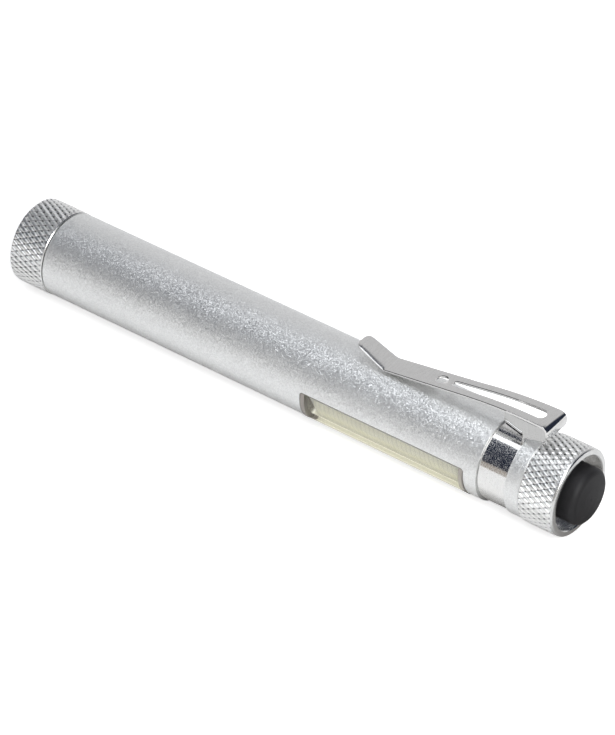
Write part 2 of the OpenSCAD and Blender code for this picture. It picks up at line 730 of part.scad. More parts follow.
// Button: a rubber cap with a flange below its holding ring and a post on the switch's plunger
button_wall = 1.2;
flange_play = 0.15;
module push_button() {
    x_top = x_rim + button_out;
    x_roof = x_top - button_round - button_wall;
    color("black") turned(concat(
        [[plunger_r, x_flange_in], [plunger_r, x_roof], [button_r - button_wall, x_roof],
            [button_r - button_wall, x_flange_in], [chamber_r - flange_play, x_flange_in],
            [chamber_r - flange_play, x_flange], [button_r, x_flange]],
        quarter(button_r, x_top, button_round, 1),
        [[(button_r - button_round) / 2, x_top + button_crown * 3 / 4], [0, x_top + button_crown],
            [0, x_flange_in]]));
}

plunger_play = 0.05;
plunger_l = 4;
module switch_plunger() {
    color("white") disc(plunger_r, x_flange_in - plunger_l, x_flange_in);
}

switch_flat = 0.5;
guide_r = 3;
guide_l = 0.6;
module switch_body() {
    color("darkslategray") difference() {
        union() {
            disc(core_in_r, x_switch_in, x_floor - guide_l);
            disc(guide_r, x_switch_in, x_floor);
        }
        disc(plunger_r + plunger_play, x_flange_in - plunger_l - button_travel - floor_play, x_floor + cut);
        for (s = [-1, 1]) translate([x_switch_in + switch_l / 3,
            s > 0 ? core_in_r - switch_flat : -core_in_r - cut, -core_in_r])
            cube([switch_l / 3, switch_flat + cut, 2 * core_in_r]);
    }
}

module tail_board() {
    color("darkgreen") disc(core_in_r, x_tail_board, x_switch_in);
}

module switch_lock_ring() {
    color("goldenrod") turned([[spring_r_1 + lock_ring_t, x_tail_board - lock_ring_t],
        [core_in_r, x_tail_board - lock_ring_t], [core_in_r, x_tail_board],
        [spring_r_1 + lock_ring_t, x_tail_board]]);
}

// Battery spring: one tube of wire wound in a cone from the board to the rear cell
wire_d = 0.7;
spring_r_0 = 2.7;
spring_r_1 = 3.4;
spring_turns = 5;
spring_rings = 8;
wire_sides = 6;
spring_gap = 0.1;
x_spring_0 = x_cells_end + spring_gap + wire_d / 2;
x_spring_1 = x_tail_board - spring_gap - wire_d / 2;
spring_steps = spring_turns * spring_rings;
function spring_point(i) = let (s = i / spring_steps, a = 360 * i / spring_rings,
        r = spring_r_0 + (spring_r_1 - spring_r_0) * s)
    [x_spring_0 + (x_spring_1 - x_spring_0) * s, r * cos(a), r * sin(a)];
spring_clear = min([for (i = [0:spring_steps - spring_rings], j = [i + spring_rings / 2:spring_steps])
    norm(spring_point(i) - spring_point(j))]) - wire_d;
echo("least gap between the spring's turns", spring_clear);
module tail_spring() {
    rings = [for (i = [0:spring_steps]) let (p = spring_point(i), a = 360 * i / spring_rings,
            t = unit(spring_point(i + 0.5) - spring_point(i - 0.5)), n = [0, cos(a), sin(a)], b = cross(t, n))
        [for (k = [0:wire_sides - 1]) let (q = 360 * k / wire_sides)
            p + wire_d / 2 * (n * cos(q) + b * sin(q))]];
    last = spring_steps * wire_sides;
    color("lightsteelblue") polyhedron([for (r = rings) each r], concat(
        [for (m = [0:wire_sides:last - 1], k = [0:wire_sides - 1]) let (k1 = (k + 1) % wire_sides)
            [m + k, m + wire_sides + k, m + k1]],
        [for (m = [0:wire_sides:last - 1], k = [0:wire_sides - 1]) let (k1 = (k + 1) % wire_sides)
            [m + wire_sides + k, m + wire_sides + k1, m + k1]],
        [[for (k = [0:wire_sides - 1]) k], [for (k = [wire_sides - 1:-1:0]) last + k]]));
}

head_ring();
lens_gasket();
head_lens();
reflector();
head_led();
led_board();
led_pill();
contact_insulator();
front_contact();
head_seal();
barrel();
strip_cover();
strip_lamp();
strip_board();
battery_carrier();
front_battery();
rear_battery();
clip_root();
clip_arm();
tail_collar();
tail_cap();
tail_seal();
button_ring();
push_button();
switch_plunger();
switch_body();
tail_board();
tail_spring();
switch_lock_ring();
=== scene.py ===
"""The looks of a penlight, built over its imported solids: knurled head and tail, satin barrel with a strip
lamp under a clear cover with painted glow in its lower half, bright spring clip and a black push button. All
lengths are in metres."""

import math

import bmesh
import bpy
from bpy.props import FloatProperty, FloatVectorProperty, IntProperty, PointerProperty
from mathutils import Matrix, Vector


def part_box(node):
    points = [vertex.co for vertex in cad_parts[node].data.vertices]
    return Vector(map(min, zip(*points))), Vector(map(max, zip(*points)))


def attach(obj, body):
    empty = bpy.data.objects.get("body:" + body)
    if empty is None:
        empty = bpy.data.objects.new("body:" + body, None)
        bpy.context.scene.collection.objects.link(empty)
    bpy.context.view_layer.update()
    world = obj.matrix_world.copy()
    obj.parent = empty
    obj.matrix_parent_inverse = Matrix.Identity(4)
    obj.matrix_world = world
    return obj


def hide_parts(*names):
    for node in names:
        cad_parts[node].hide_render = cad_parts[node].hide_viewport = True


bl_info = {
    "name": "Penlight looks",
    "version": (1, 0, 0),
    "blender": (4, 5, 0),
    "location": "View3D > Sidebar > Penlight",
    "description": "Builds the finished pieces and materials of a penlight over its solids",
    "category": "Object",
}

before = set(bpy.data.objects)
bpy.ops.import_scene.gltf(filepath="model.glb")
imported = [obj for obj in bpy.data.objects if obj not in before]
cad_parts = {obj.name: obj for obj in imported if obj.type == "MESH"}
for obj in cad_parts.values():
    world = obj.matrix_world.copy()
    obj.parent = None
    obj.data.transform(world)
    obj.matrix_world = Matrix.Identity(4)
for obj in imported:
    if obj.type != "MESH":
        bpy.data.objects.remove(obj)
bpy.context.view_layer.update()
MM = 0.001

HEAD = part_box("head_ring")
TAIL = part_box("tail_cap")
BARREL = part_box("barrel")
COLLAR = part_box("tail_collar")
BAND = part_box("clip_root")
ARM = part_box("clip_arm")

BARREL_R = BARREL[1].y
CREST_R = HEAD[1].y
SEAM = 0.12 * MM
X_HEAD = BARREL[0].x - SEAM
X_TAIL = COLLAR[1].x + SEAM

# Points nearer than this are one point, and edges that turn by more than this are bevelled
NEAR = 1e-7
BEVEL_ANGLE = math.radians(50)

# A Mix node has sockets of one name for each kind of value: these are the ones for colours
MIX_SHARE, MIX_LOW, MIX_HIGH, MIX_RESULT = 0, 6, 7, 2


# Settings

class KnurlSettings(bpy.types.PropertyGroup):
    """Sizes of the knurled rings."""

    around: IntProperty(name="Crests around", description="Crests in one row of the knurling", default=42,
                        min=12)
    rows: IntProperty(name="Rows", description="Crests in one line along the ring", default=3, min=1)
    depth: FloatProperty(name="Depth", description="Depth of the knurling's grooves", default=0.36 * MM,
                         unit="LENGTH", precision=5)
    bevel: FloatProperty(name="Inner bevel", description="Bevel of each ring beside its seam",
                         default=0.14 * MM, unit="LENGTH", precision=5)
    rim_round: FloatProperty(name="Rim rounding", description="Rounding of each ring at its rim",
                             default=0.5 * MM, unit="LENGTH", precision=5)


class ClipSettings(bpy.types.PropertyGroup):
    """Sizes of the formed clip."""

    sheet: FloatProperty(name="Sheet", description="Thickness of the clip's sheet", default=0.5 * MM,
                         unit="LENGTH", precision=5)
    tip_width: FloatProperty(name="Width at the tip", description="Width of the clip at its lifted tip",
                             default=4.2 * MM, unit="LENGTH", precision=5)
    contact_width: FloatProperty(name="Width at the bend", default=4.9 * MM, unit="LENGTH", precision=5,
                                 description="Width of the clip at its contact bend")
    waist_width: FloatProperty(name="Width at the waist", description="Width where the clip starts to widen",
                               default=5.3 * MM, unit="LENGTH", precision=5)
    root_width: FloatProperty(name="Width at the root", description="Width of the clip over the band",
                              default=6.7 * MM, unit="LENGTH", precision=5)
    slot_length: FloatProperty(name="Slot length", description="Length of the slot", default=21.5 * MM,
                               unit="LENGTH", precision=5)
    slot_width: FloatProperty(name="Slot width", description="Width of the slot beside the band",
                              default=2.7 * MM, unit="LENGTH", precision=5)
    slot_narrow: FloatProperty(name="Slot's narrow width", description="Width of the slot beside the hole",
                               default=1.6 * MM, unit="LENGTH", precision=5)
    hole: FloatProperty(name="Hole", description="Diameter of the round hole", default=2.5 * MM,
                        unit="LENGTH", precision=5)


class FinishSettings(bpy.types.PropertyGroup):
    """Colours of the finishes."""

    satin: FloatVectorProperty(name="Satin", description="Colour of the blasted and anodised barrel",
                               subtype="COLOR", size=3, min=0, max=1, default=(0.84, 0.845, 0.84))
    bright: FloatVectorProperty(name="Bright metal", description="Colour of the knurled rings",
                                subtype="COLOR", size=3, min=0, max=1, default=(0.86, 0.86, 0.85))
    chrome: FloatVectorProperty(name="Chrome", description="Colour of the polished clip", subtype="COLOR",
                                size=3, min=0, max=1, default=(0.72, 0.715, 0.705))
    rubber: FloatVectorProperty(name="Rubber", description="Colour of the push button", subtype="COLOR",
                                size=3, min=0, max=1, default=(0.0075, 0.0072, 0.0085))
    lamp: FloatVectorProperty(name="Lit strip", description="Colour of the strip lamp's gel", subtype="COLOR",
                              size=3, min=0, max=1, default=(0.95, 0.93, 0.76))


# Shader maths

class Value:
    """A socket with operators: each one adds the Math node that it stands for."""

    def __init__(self, shader, socket):
        self.shader = shader
        self.socket = socket

    def _math(self, operation, *others):
        return self.shader.node("ShaderNodeMath", {"operation": operation}, [self, *others])

    def __add__(self, other):
        return self._math("ADD", other)

    __radd__ = __add__

    def __sub__(self, other):
        return self._math("SUBTRACT", other)

    def __rsub__(self, other):
        return self.shader.node("ShaderNodeMath", {"operation": "SUBTRACT"}, [other, self])

    def __mul__(self, other):
        return self._math("MULTIPLY", other)

    __rmul__ = __mul__

    def __pow__(self, other):
        return self._math("POWER", other)

    def sine(self):
        return self._math("SINE")

    def angle_from(self, other):
        """The angle whose tangent is this value over another."""
        return self._math("ARCTAN2", other)

    def absolute(self):
        return self._math("ABSOLUTE")

    def fraction(self):
        return self._math("FRACT")

    def clamped(self):
        """This value held between 0 and 1."""
        return self.shader.node("ShaderNodeClamp", {}, {"Value": self})

    def ramp(self, low, high, to_low=0.0, to_high=1.0):
        """A smooth step of this value, from low to high."""
        return self.shader.node("ShaderNodeMapRange", {"interpolation_type": "SMOOTHSTEP"}, {
            "Value": self, "From Min": low, "From Max": high, "To Min": to_low, "To Max": to_high})


class Shader:
    """One material's or world's nodes. node() is the only method that makes a node."""

    def __init__(self, tree):
        self.tree = tree
        tree.nodes.clear()

    def node(self, kind, settings=None, inputs=None, output=0):
        """A node of a kind: its settings are set first, then its sockets by name or by number."""
        made = self.tree.nodes.new(kind)
        for name, value in (settings or {}).items():
            setattr(made, name, value)
        pairs = enumerate(inputs) if isinstance(inputs, list) else (inputs or {}).items()
        for name, value in pairs:
            socket = made.inputs[name]
            if isinstance(value, Value):
                self.tree.links.new(value.socket, socket)
            else:
                socket.default_value = value
        return Value(self, made.outputs[output]) if made.outputs else None

    def place(self):
        """Object coordinates in metres."""
        return self.node("ShaderNodeTexCoord", output="Object")

    def parts(self, vector):
        """The x, y and z of a vector."""
        split = self.node("ShaderNodeSeparateXYZ", {}, {"Vector": vector}).socket.node
        return [Value(self, split.outputs[i]) for i in range(3)]

    def noise(self, size, detail=2.0, roughness=0.5, place=None, distortion=0.0):
        """Noise from 0 to 1 with blobs of about the given size in metres."""
        return self.node("ShaderNodeTexNoise", {}, {
            "Vector": place or self.place(), "Scale": 1.0 / size, "Detail": detail, "Roughness": roughness,
            "Distortion": distortion})

    def cells(self, size, output="Distance"):
        """Cells of about the given size in metres: the distance from their middles, or a colour for each."""
        return self.node("ShaderNodeTexVoronoi", {}, {"Vector": self.place(), "Scale": 1.0 / size}, output)

    def stretched(self, along, across):
        """Object coordinates scaled along X and across it, for brushed and turned marks."""
        return self.node("ShaderNodeMapping", {}, {"Vector": self.place(), "Scale": (along, across, across)})

    def blend(self, share, low, high):
        """A colour between two others."""
        return self.node("ShaderNodeMix", {"data_type": "RGBA"},
                         {MIX_SHARE: share, MIX_LOW: low, MIX_HIGH: high}, MIX_RESULT)

    def vector(self, operation, *vectors):
        """Vector maths."""
        return self.node("ShaderNodeVectorMath", {"operation": operation}, list(vectors))

    def bump(self, height, distance, strength=1.0, below=None):
        """A bumped normal: height from 0 to 1 over distance in metres, on top of another bump."""
        inputs = {"Height": height, "Distance": distance, "Strength": strength}
        if below is not None:
            inputs["Normal"] = below
        return self.node("ShaderNodeBump", {}, inputs)


def rgba(colour):
    """A colour as a colour socket takes it."""
    return (*colour[:3], 1.0)


def shade(colour, factor):
    """A colour made lighter or darker."""
    return tuple(min(1.0, c * factor) for c in colour[:3])


def mottled(shader, share, colour, low, high):
    """A colour that varies between two shades of itself."""
    return shader.blend(share, rgba(shade(colour, low)), rgba(shade(colour, high)))


def new_material(name, slots, see_through=False):
    """A material with one Principled shader, given its sockets by slots(shader)."""
    material = bpy.data.materials.new(name)
    material.use_nodes = True
    shader = Shader(material.node_tree)
    surface = shader.node("ShaderNodeBsdfPrincipled", {}, slots(shader))
    shader.node("ShaderNodeOutputMaterial", {}, {"Surface": surface})
    if see_through:
        material.surface_render_method = "BLENDED"
    return material


# Finishes

def satin_metal(name, colour):
    """Blasted and anodised aluminium: fine grains that lean their own ways and sparkle, with faint wear."""
    grain_size, speck_size, lean = 0.14 * MM, 0.20 * MM, 0.46

    def slots(s):
        grain = s.cells(grain_size, output="Color")
        speck = s.parts(s.cells(speck_size, output="Color"))[0]
        tilt = s.vector("MULTIPLY", s.vector("SUBTRACT", grain, (0.5, 0.5, 0.5)), (lean, lean, lean))
        surface = s.node("ShaderNodeNewGeometry", output="Normal")
        facing = s.vector("NORMALIZE", s.vector("ADD", surface, tilt))
        patches = s.noise(6 * MM, 2.0)
        wear = s.noise(1.1 * MM, 3.0)
        rough = 0.43 + 0.05 * wear + 0.03 * patches
        tone = mottled(s, patches * 0.25 + wear * 0.15 + speck * 0.6, colour, 0.86, 1.12)
        return {"Base Color": tone, "Metallic": 1.0, "Roughness": rough, "Normal": facing}
    return new_material(name, slots)


def bright_metal(name, colour, turned=False):
    """Cut and polished aluminium with fine tool marks."""
    def slots(s):
        marks = s.noise(0.12 * MM, 3.0, 0.6, place=s.stretched(1.0, 0.06) if turned else None)
        stain = s.noise(1.6 * MM, 3.0, 0.6)
        tone = mottled(s, stain.ramp(0.3, 0.7), colour, 0.95, 1.04)
        return {"Base Color": tone, "Metallic": 1.0, "Roughness": 0.20 + 0.10 * stain,
                "Normal": s.bump(marks, 0.006 * MM, 0.8)}
    return new_material(name, slots)


def knurled_metal(name, colour, x0, x1, settings):
    """Knurled aluminium: the long ridges' crests lighter as a painted highlight, and the grooves darker with
    painted shade, most where they cross.
    """
    crest_highlight_tone, groove_shade_tone = (0.97, 0.97, 0.96, 1), (0.12, 0.12, 0.13, 1)

    def slots(s):
        x, y, z = s.parts(s.place())
        turn = y.angle_from(z) * (settings.around / math.tau)
        along = (x - x0) * (settings.rows / (x1 - x0))
        up = 1 - ((turn + along).fraction() * 2 - 1).absolute()
        down = 1 - ((turn - along).fraction() * 2 - 1).absolute()
        stain = s.noise(0.9 * MM, 3.0, 0.6)
        fine = s.noise(0.10 * MM, 2.0, 0.6)
        # Darker where the grooves cross and along the shallow grooves: painted shade
        groove_shade = up.ramp(0.46, 0.10) * down.ramp(0.46, 0.10) * 0.85 + down.ramp(0.26, 0.04) * 0.30
        # Crests of the long ridges painted near-white: a painted highlight
        crest_highlight = up.ramp(0.50, 0.85)
        tone = mottled(s, stain.ramp(0.3, 0.7), colour, 0.95, 1.03)
        tone = s.blend(crest_highlight, tone, crest_highlight_tone)
        tone = s.blend(groove_shade.clamped(), tone, groove_shade_tone)
        return {"Base Color": tone, "Metallic": 1.0, "Roughness": 0.27 + 0.12 * stain,
                "Normal": s.bump(fine, 0.006 * MM, 0.8)}
    return new_material(name, slots)


def polished_steel(name, colour, specks=0.10):
    """Chromed sheet: a mirror with a little orange peel, fine streaks and rough specks."""
    def slots(s):
        peel = s.noise(1.8 * MM, 2.0)
        fine = s.noise(0.22 * MM, 3.0, 0.7)
        streaks = s.noise(0.25 * MM, 2.0, place=s.stretched(1.0, 0.12))
        mark = s.noise(0.17 * MM, 2.0, 0.7).ramp(0.50, 0.66)
        tone = mottled(s, (fine * 0.5 + streaks * 0.5).ramp(0.35, 0.65), colour, 0.95, 1.03)
        return {"Base Color": tone, "Metallic": 1.0, "Roughness": 0.07 + 0.05 * fine + specks * mark,
                "Normal": s.bump(fine, 0.0016 * MM, 0.6, below=s.bump(peel, 0.006 * MM, 0.5))}
    return new_material(name, slots)


def black_rubber(name, colour):
    """Moulded rubber with a fine matte skin and a little lint."""
    def slots(s):
        skin = s.noise(0.10 * MM, 2.0, 0.6)
        haze = s.noise(2.4 * MM, 3.0, 0.6)
        lint = s.cells(0.9 * MM).ramp(0.0, 0.10, 1.0, 0.0) * s.noise(1.7 * MM).ramp(0.52, 0.60)
        dusty = (haze.ramp(0.45, 0.75) * 0.08 + lint * 0.8).clamped()
        tone = s.blend(dusty, rgba(colour), rgba(shade(colour, 6.0)))
        return {"Base Color": tone, "Roughness": 0.52 + 0.14 * haze, "Specular IOR Level": 0.4,
                "Normal": s.bump(skin, 0.010 * MM, 0.6)}
    return new_material(name, slots)


def clear_cover(name, box, turn):
    """Clear moulded plastic whose lower half glows with painted light, brightest along a band of painted
    reflection, with taupe ends and a dark rim of painted shade.
    """
    half = (box[1].x - box[0].x) / 2
    middle = (box[1].x + box[0].x) / 2
    x_end, end_soft = half - 1.15 * MM, 0.10 * MM
    x_rim, rim_soft = half - 0.22 * MM, 0.06 * MM
    side_rim = (4.62 * MM, 4.72 * MM)
    end_tone, rim_shade_tone = (0.42, 0.38, 0.35, 1), (0.14, 0.125, 0.11, 1)

    def slots(s):
        x, y, z = s.parts(s.place())
        slant = s.node("ShaderNodeLayerWeight", {}, {"Blend": 0.30}, "Facing")
        haze = s.noise(1.2 * MM, 3.0, 0.6)
        streaks = s.noise(0.5 * MM, 2.0, place=s.stretched(0.05, 1.0))
        across = y * math.cos(turn) + z * math.sin(turn)
        reach = (x - middle).absolute()
        # The lower half: more opaque, and where the painted glow goes
        low = across.ramp(-0.4 * MM, -2.2 * MM)
        # A band of painted reflection low on the cover
        painted_reflection = across.ramp(-0.6 * MM, -1.4 * MM) * across.ramp(-2.9 * MM, -1.9 * MM)
        end = (reach - x_end).ramp(0.0, end_soft)
        # A dark rim of painted shade along the upper side and the ends, where the cover meets the barrel
        line = (across.ramp(*side_rim) + (reach - x_rim).ramp(0.0, rim_soft)).clamped()
        tone = s.blend(haze, (0.55, 0.54, 0.44, 1), (0.62, 0.61, 0.52, 1))
        tone = s.blend(end, tone, end_tone)
        tone = s.blend(line, tone, rim_shade_tone)
        # Painted glow, brightest in the band of painted reflection, though the cover is no lamp
        painted_glow_tone = s.blend(painted_reflection, (0.48, 0.47, 0.39, 1), (0.92, 0.91, 0.87, 1))
        glow = s.blend((low * (1 - end) * (1 - line)).clamped(), (0.0, 0.0, 0.0, 1), painted_glow_tone)
        cover = 0.08 + 0.08 * streaks + 0.30 * slant ** 3.0 + 0.75 * low + 0.60 * end + line
        return {"Base Color": tone, "Roughness": 0.10 + 0.06 * haze, "IOR": 1.49, "Coat Weight": 0.6,
                "Coat Roughness": 0.03, "Alpha": cover.clamped(), "Emission Color": glow,
                "Emission Strength": 0.75, "Normal": s.bump(haze, 0.004 * MM, 0.4)}
    return new_material(name, slots, see_through=True)


def lens_glass(name):
    """Polished lens, see-through with a bluish coating."""
    def slots(s):
        slant = s.node("ShaderNodeLayerWeight", {}, {"Blend": 0.25}, "Facing")
        dust = s.noise(0.8 * MM, 3.0, 0.7)
        tone = s.blend(dust, (0.80, 0.85, 0.92, 1), (0.90, 0.93, 0.96, 1))
        return {"Base Color": tone, "Roughness": 0.03 + 0.03 * dust, "IOR": 1.52, "Coat Weight": 1.0,
                "Coat Roughness": 0.02, "Alpha": (0.12 + 0.04 * dust + 0.55 * slant ** 2.0).clamped()}
    return new_material(name, slots, see_through=True)


def lamp_gel(name, colour, chip=0.0):
    """Pale phosphor gel: faint rows of chips below a soft glossy top."""
    def slots(s):
        x, y, z = s.parts(s.place())
        clouds = s.noise(2.2 * MM, 3.0, 0.6)
        grain = s.noise(0.25 * MM, 2.0)
        share = clouds * 0.7 + grain * 0.3
        if chip:
            dots = ((x * (math.tau / chip)).sine() * 0.5 + 0.5).ramp(0.72, 0.95)
            share = share * 0.75 + dots * 0.25
        tone = mottled(s, share.ramp(0.3, 0.75), colour, 1.05, 0.88)
        return {"Base Color": tone, "Roughness": 0.34 + 0.12 * clouds, "Coat Weight": 0.3,
                "Subsurface Weight": 0.15, "Subsurface Radius": (0.001, 0.0009, 0.0005),
                "Subsurface Scale": 0.6, "Normal": s.bump(clouds, 0.02 * MM, 0.4)}
    return new_material(name, slots)


def circuit_board(name, colour):
    """Solder resist over faint copper tracks."""
    track_scale, track_width = 260.0, 0.035

    def slots(s):
        tracks = s.node("ShaderNodeTexBrick", {"offset": 0.35}, {
            "Vector": s.place(), "Scale": track_scale, "Mortar Size": track_width, "Color1": (0, 0, 0, 1),
            "Color2": (0.2, 0.2, 0.2, 1), "Mortar": (1, 1, 1, 1)}, "Fac")
        clouds = s.noise(1.5 * MM, 3.0)
        tone = s.blend((tracks * 0.6 + clouds * 0.3).clamped(), rgba(colour), rgba(shade(colour, 0.80)))
        return {"Base Color": tone, "Roughness": 0.30 + 0.12 * clouds, "Coat Weight": 0.25,
                "Normal": s.bump(tracks, 0.02 * MM, 0.6)}
    return new_material(name, slots)


def moulded_plastic(name, colour):
    """Moulded plastic with a fine eroded skin."""
    def slots(s):
        skin = s.noise(0.14 * MM, 3.0, 0.6)
        flow = s.noise(3.5 * MM, 2.0, distortion=0.6)
        tone = mottled(s, (skin * 0.6 + flow * 0.4).ramp(0.3, 0.7), colour, 0.85, 1.12)
        return {"Base Color": tone, "Roughness": 0.46 + 0.14 * flow, "Normal": s.bump(skin, 0.012 * MM, 0.7)}
    return new_material(name, slots)


def turned_brass(name, colour):
    """Turned brass, slightly tarnished."""
    def slots(s):
        tarnish = s.noise(1.3 * MM, 4.0, 0.65)
        marks = s.noise(0.10 * MM, 2.0, place=s.stretched(1.0, 0.05))
        tone = s.blend(tarnish.ramp(0.35, 0.7), rgba(colour), rgba(shade(colour, 0.72)))
        return {"Base Color": tone, "Metallic": 1.0, "Roughness": 0.24 + 0.16 * tarnish,
                "Normal": s.bump(marks, 0.006 * MM, 0.8)}
    return new_material(name, slots)


def cell_jacket(name, colour):
    """Printed film round a cell: a plain body colour with a light band at each end."""
    cell_length, band_tone = 44.5 * MM, (0.62, 0.62, 0.60, 1)

    def slots(s):
        x, y, z = s.parts(s.place())
        film = s.noise(2.0 * MM, 2.0)
        fleck = s.noise(0.15 * MM, 2.0)
        band = ((x * (1 / cell_length)).fraction() - 0.5).absolute().ramp(0.36, 0.37)
        tone = s.blend(band, rgba(colour), band_tone)
        tone = s.blend(fleck.ramp(0.4, 0.9, 0.0, 0.25), tone, rgba(shade(colour, 1.6)))
        return {"Base Color": tone, "Metallic": 0.3, "Roughness": 0.26 + 0.12 * film, "Coat Weight": 0.4,
                "Normal": s.bump(film, 0.01 * MM, 0.4)}
    return new_material(name, slots)


# Modelling

def mesh_of(bm, name):
    """Turns a bmesh into a mesh."""
    mesh = bpy.data.meshes.new(name)
    bm.to_mesh(mesh)
    bm.free()
    return mesh


def linked(name, data):
    """A new object in the scene."""
    obj = bpy.data.objects.new(name, data)
    bpy.context.scene.collection.objects.link(obj)
    return obj


def finished(bm, name, body, materials, angle, replaces):
    """Makes a finished object from a bmesh: its edges sharp past an angle, riding on a body."""
    mesh = mesh_of(bm, name)
    for polygon in mesh.polygons:
        polygon.use_smooth = True
    mesh.set_sharp_from_angle(angle=math.radians(angle))
    obj = linked(name, mesh)
    for material in materials:
        mesh.materials.append(material)
    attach(obj, body)
    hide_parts(*replaces)


def spun(profile, steps=168, closed=True):
    """A bmesh of a solid turned about X, from points of station and radius."""
    bm = bmesh.new()
    verts = [bm.verts.new((x, 0.0, r)) for x, r in profile]
    ends = zip(verts, verts[1:] + verts[:1]) if closed else zip(verts, verts[1:])
    edges = [bm.edges.new(pair) for pair in ends]
    bmesh.ops.spin(bm, geom=verts + edges, cent=(0, 0, 0), axis=(1, 0, 0), angle=math.tau, steps=steps,
                   use_merge=True, use_duplicate=False)
    bmesh.ops.remove_doubles(bm, verts=bm.verts, dist=NEAR)
    bmesh.ops.recalc_face_normals(bm, faces=bm.faces)
    return bm


def rounded(x, r, e, way_x, way_r, steps=4):
    """Points of a corner at station x and radius r, rounded by e, from its round side to its flat side.

    way_x and way_r point from the corner into the solid."""
    centre = (x + way_x * e, r + way_r * e)
    return [(centre[0] - way_x * e * math.sin(a), centre[1] - way_r * e * math.cos(a))
            for a in (math.pi / 2 * i / steps for i in range(steps + 1))]


def set_radius(vert, r):
    """Moves a point of a bmesh to a distance from the X axis."""
    scale = r / math.hypot(vert.co.y, vert.co.z)
    vert.co.y *= scale
    vert.co.z *= scale


def flank(share, width):
    """How high a groove's side stands at a share of the pitch: 0 at its floor, 1 past its width."""
    return math.sin(min(1.0, (1 - abs(2 * share - 1)) / width) * math.pi / 2)


def knurl_sleeve(x0, x1, crest_r, settings, land_r):
    """A bmesh of the knurled surface: a fine sleeve whose points are pushed in along crossing grooves.

    The grooves that run one way are shallow, so that the ridges between the others stay long."""
    steps_per_flank = 6
    ridge_width, notch_width, notch_floor, plain_rows = 0.64, 0.50, 0.60, 0.25
    around = settings.around * 2 * steps_per_flank
    rows = settings.rows * 2 * steps_per_flank
    profile = [(x0 + (x1 - x0) * i / rows, crest_r) for i in range(rows + 1)]
    bm = spun(profile, steps=around, closed=False)
    for v in bm.verts:
        along = (v.co.x - x0) / (x1 - x0) * settings.rows
        turn = math.atan2(v.co.y, v.co.z) / math.tau * settings.around
        ridge = flank((turn + along) % 1.0, ridge_width)
        notch = notch_floor + (1 - notch_floor) * flank((turn - along) % 1.0, notch_width)
        r = crest_r - settings.depth * (1 - min(ridge, notch))
        from_end = min(along, settings.rows - along) * 2
        set_radius(v, min(r, land_r) if from_end < plain_rows else r)
    return bm


def thread_sleeve(x0, x1, crest_r, way):
    """A bmesh of a screw thread: a fine sleeve whose points are pushed in along one winding groove."""
    per_turn, pitch, depth, run_out = 8, 1.0 * MM, 0.30 * MM, 0.6 * MM
    slant, crest_share = 1.5, 0.25
    count = max(2, round(abs(x1 - x0) / pitch * per_turn))
    bm = spun([(x0 + (x1 - x0) * i / count, crest_r) for i in range(count + 1)], steps=96, closed=False)
    for v in bm.verts:
        run = (v.co.x / pitch - way * math.atan2(v.co.y, v.co.z) / math.tau) % 1.0
        low = min(1.0, max(0.0, abs(2 * run - 1) * slant - crest_share))
        fade = min(1.0, abs(v.co.x - x1) / run_out)
        set_radius(v, crest_r - depth * max(low, 1 - fade))
    return bm


def joined(*parts):
    """One bmesh that holds several."""
    whole = bmesh.new()
    for part in parts:
        mesh = mesh_of(part, "part")
        whole.from_mesh(mesh)
        bpy.data.meshes.remove(mesh)
    return whole


def prism(outline, low, high):
    """A bmesh of a flat outline in X and Y, drawn up from low to high."""
    bm = bmesh.new()
    face = bm.faces.new([bm.verts.new((x, y, low)) for x, y in outline])
    made = bmesh.ops.extrude_face_region(bm, geom=[face])
    bmesh.ops.translate(bm, vec=(0, 0, high - low),
                        verts=[g for g in made["geom"] if isinstance(g, bmesh.types.BMVert)])
    bmesh.ops.recalc_face_normals(bm, faces=bm.faces)
    return bm


def cut_by(bm, cutter):
    """A bmesh with another cut out of it."""
    whole, tool = linked("body", mesh_of(bm, "body")), linked("tool", mesh_of(cutter, "tool"))
    modifier = whole.modifiers.new("cut", "BOOLEAN")
    modifier.operation = "DIFFERENCE"
    modifier.solver = "EXACT"
    modifier.object = tool
    graph = bpy.context.evaluated_depsgraph_get()
    result = bmesh.new()
    result.from_object(whole, graph)
    for obj in (whole, tool):
        mesh = obj.data
        bpy.data.objects.remove(obj)
        bpy.data.meshes.remove(mesh)
    return result


def round_corner(a, b, c, r, steps):
    """Points of the corner b between a and c, rounded by r."""
    a, b, c = Vector(a), Vector(b), Vector(c)
    u, w = (b - a).normalized(), (c - b).normalized()
    side = 1 if u.x * w.y - u.y * w.x > 0 else -1
    turn = math.acos(max(-1, min(1, u.dot(w))))
    start = b - u * r * math.tan(turn / 2)
    centre = start + Vector((-u.y, u.x)) * side * r
    arm = start - centre
    return [centre + Matrix.Rotation(side * turn * i / steps, 2) @ arm for i in range(steps + 1)]


def rounded_outline(points, radii, steps=6):
    """A closed outline with each corner rounded by its own radius."""
    made, n = [], len(points)
    for i, (point, r) in enumerate(zip(points, radii)):
        after = points[(i + 1) % n]
        made += round_corner(points[i - 1], point, after, r, steps) if r > 0 else [Vector(point)]
    return [(p.x, p.y) for p in made]


def split(bm, point, normal, **options):
    """Cuts a bmesh along a plane."""
    return bmesh.ops.bisect_plane(bm, geom=bm.verts[:] + bm.edges[:] + bm.faces[:], plane_co=point,
                                  plane_no=normal, dist=NEAR, **options)


def bevel(bm, width, segments=2, keep=None):
    """Bevels each sharp edge, or those of them that keep() picks."""
    edges = [e for e in bm.edges if len(e.link_faces) == 2 and e.calc_face_angle(0) > BEVEL_ANGLE
             and (keep is None or keep(e))]
    bmesh.ops.bevel(bm, geom=edges, offset=width, offset_type="OFFSET", segments=segments, profile=0.5,
                    affect="EDGES", material=-1, clamp_overlap=True)


# Pieces and their operators

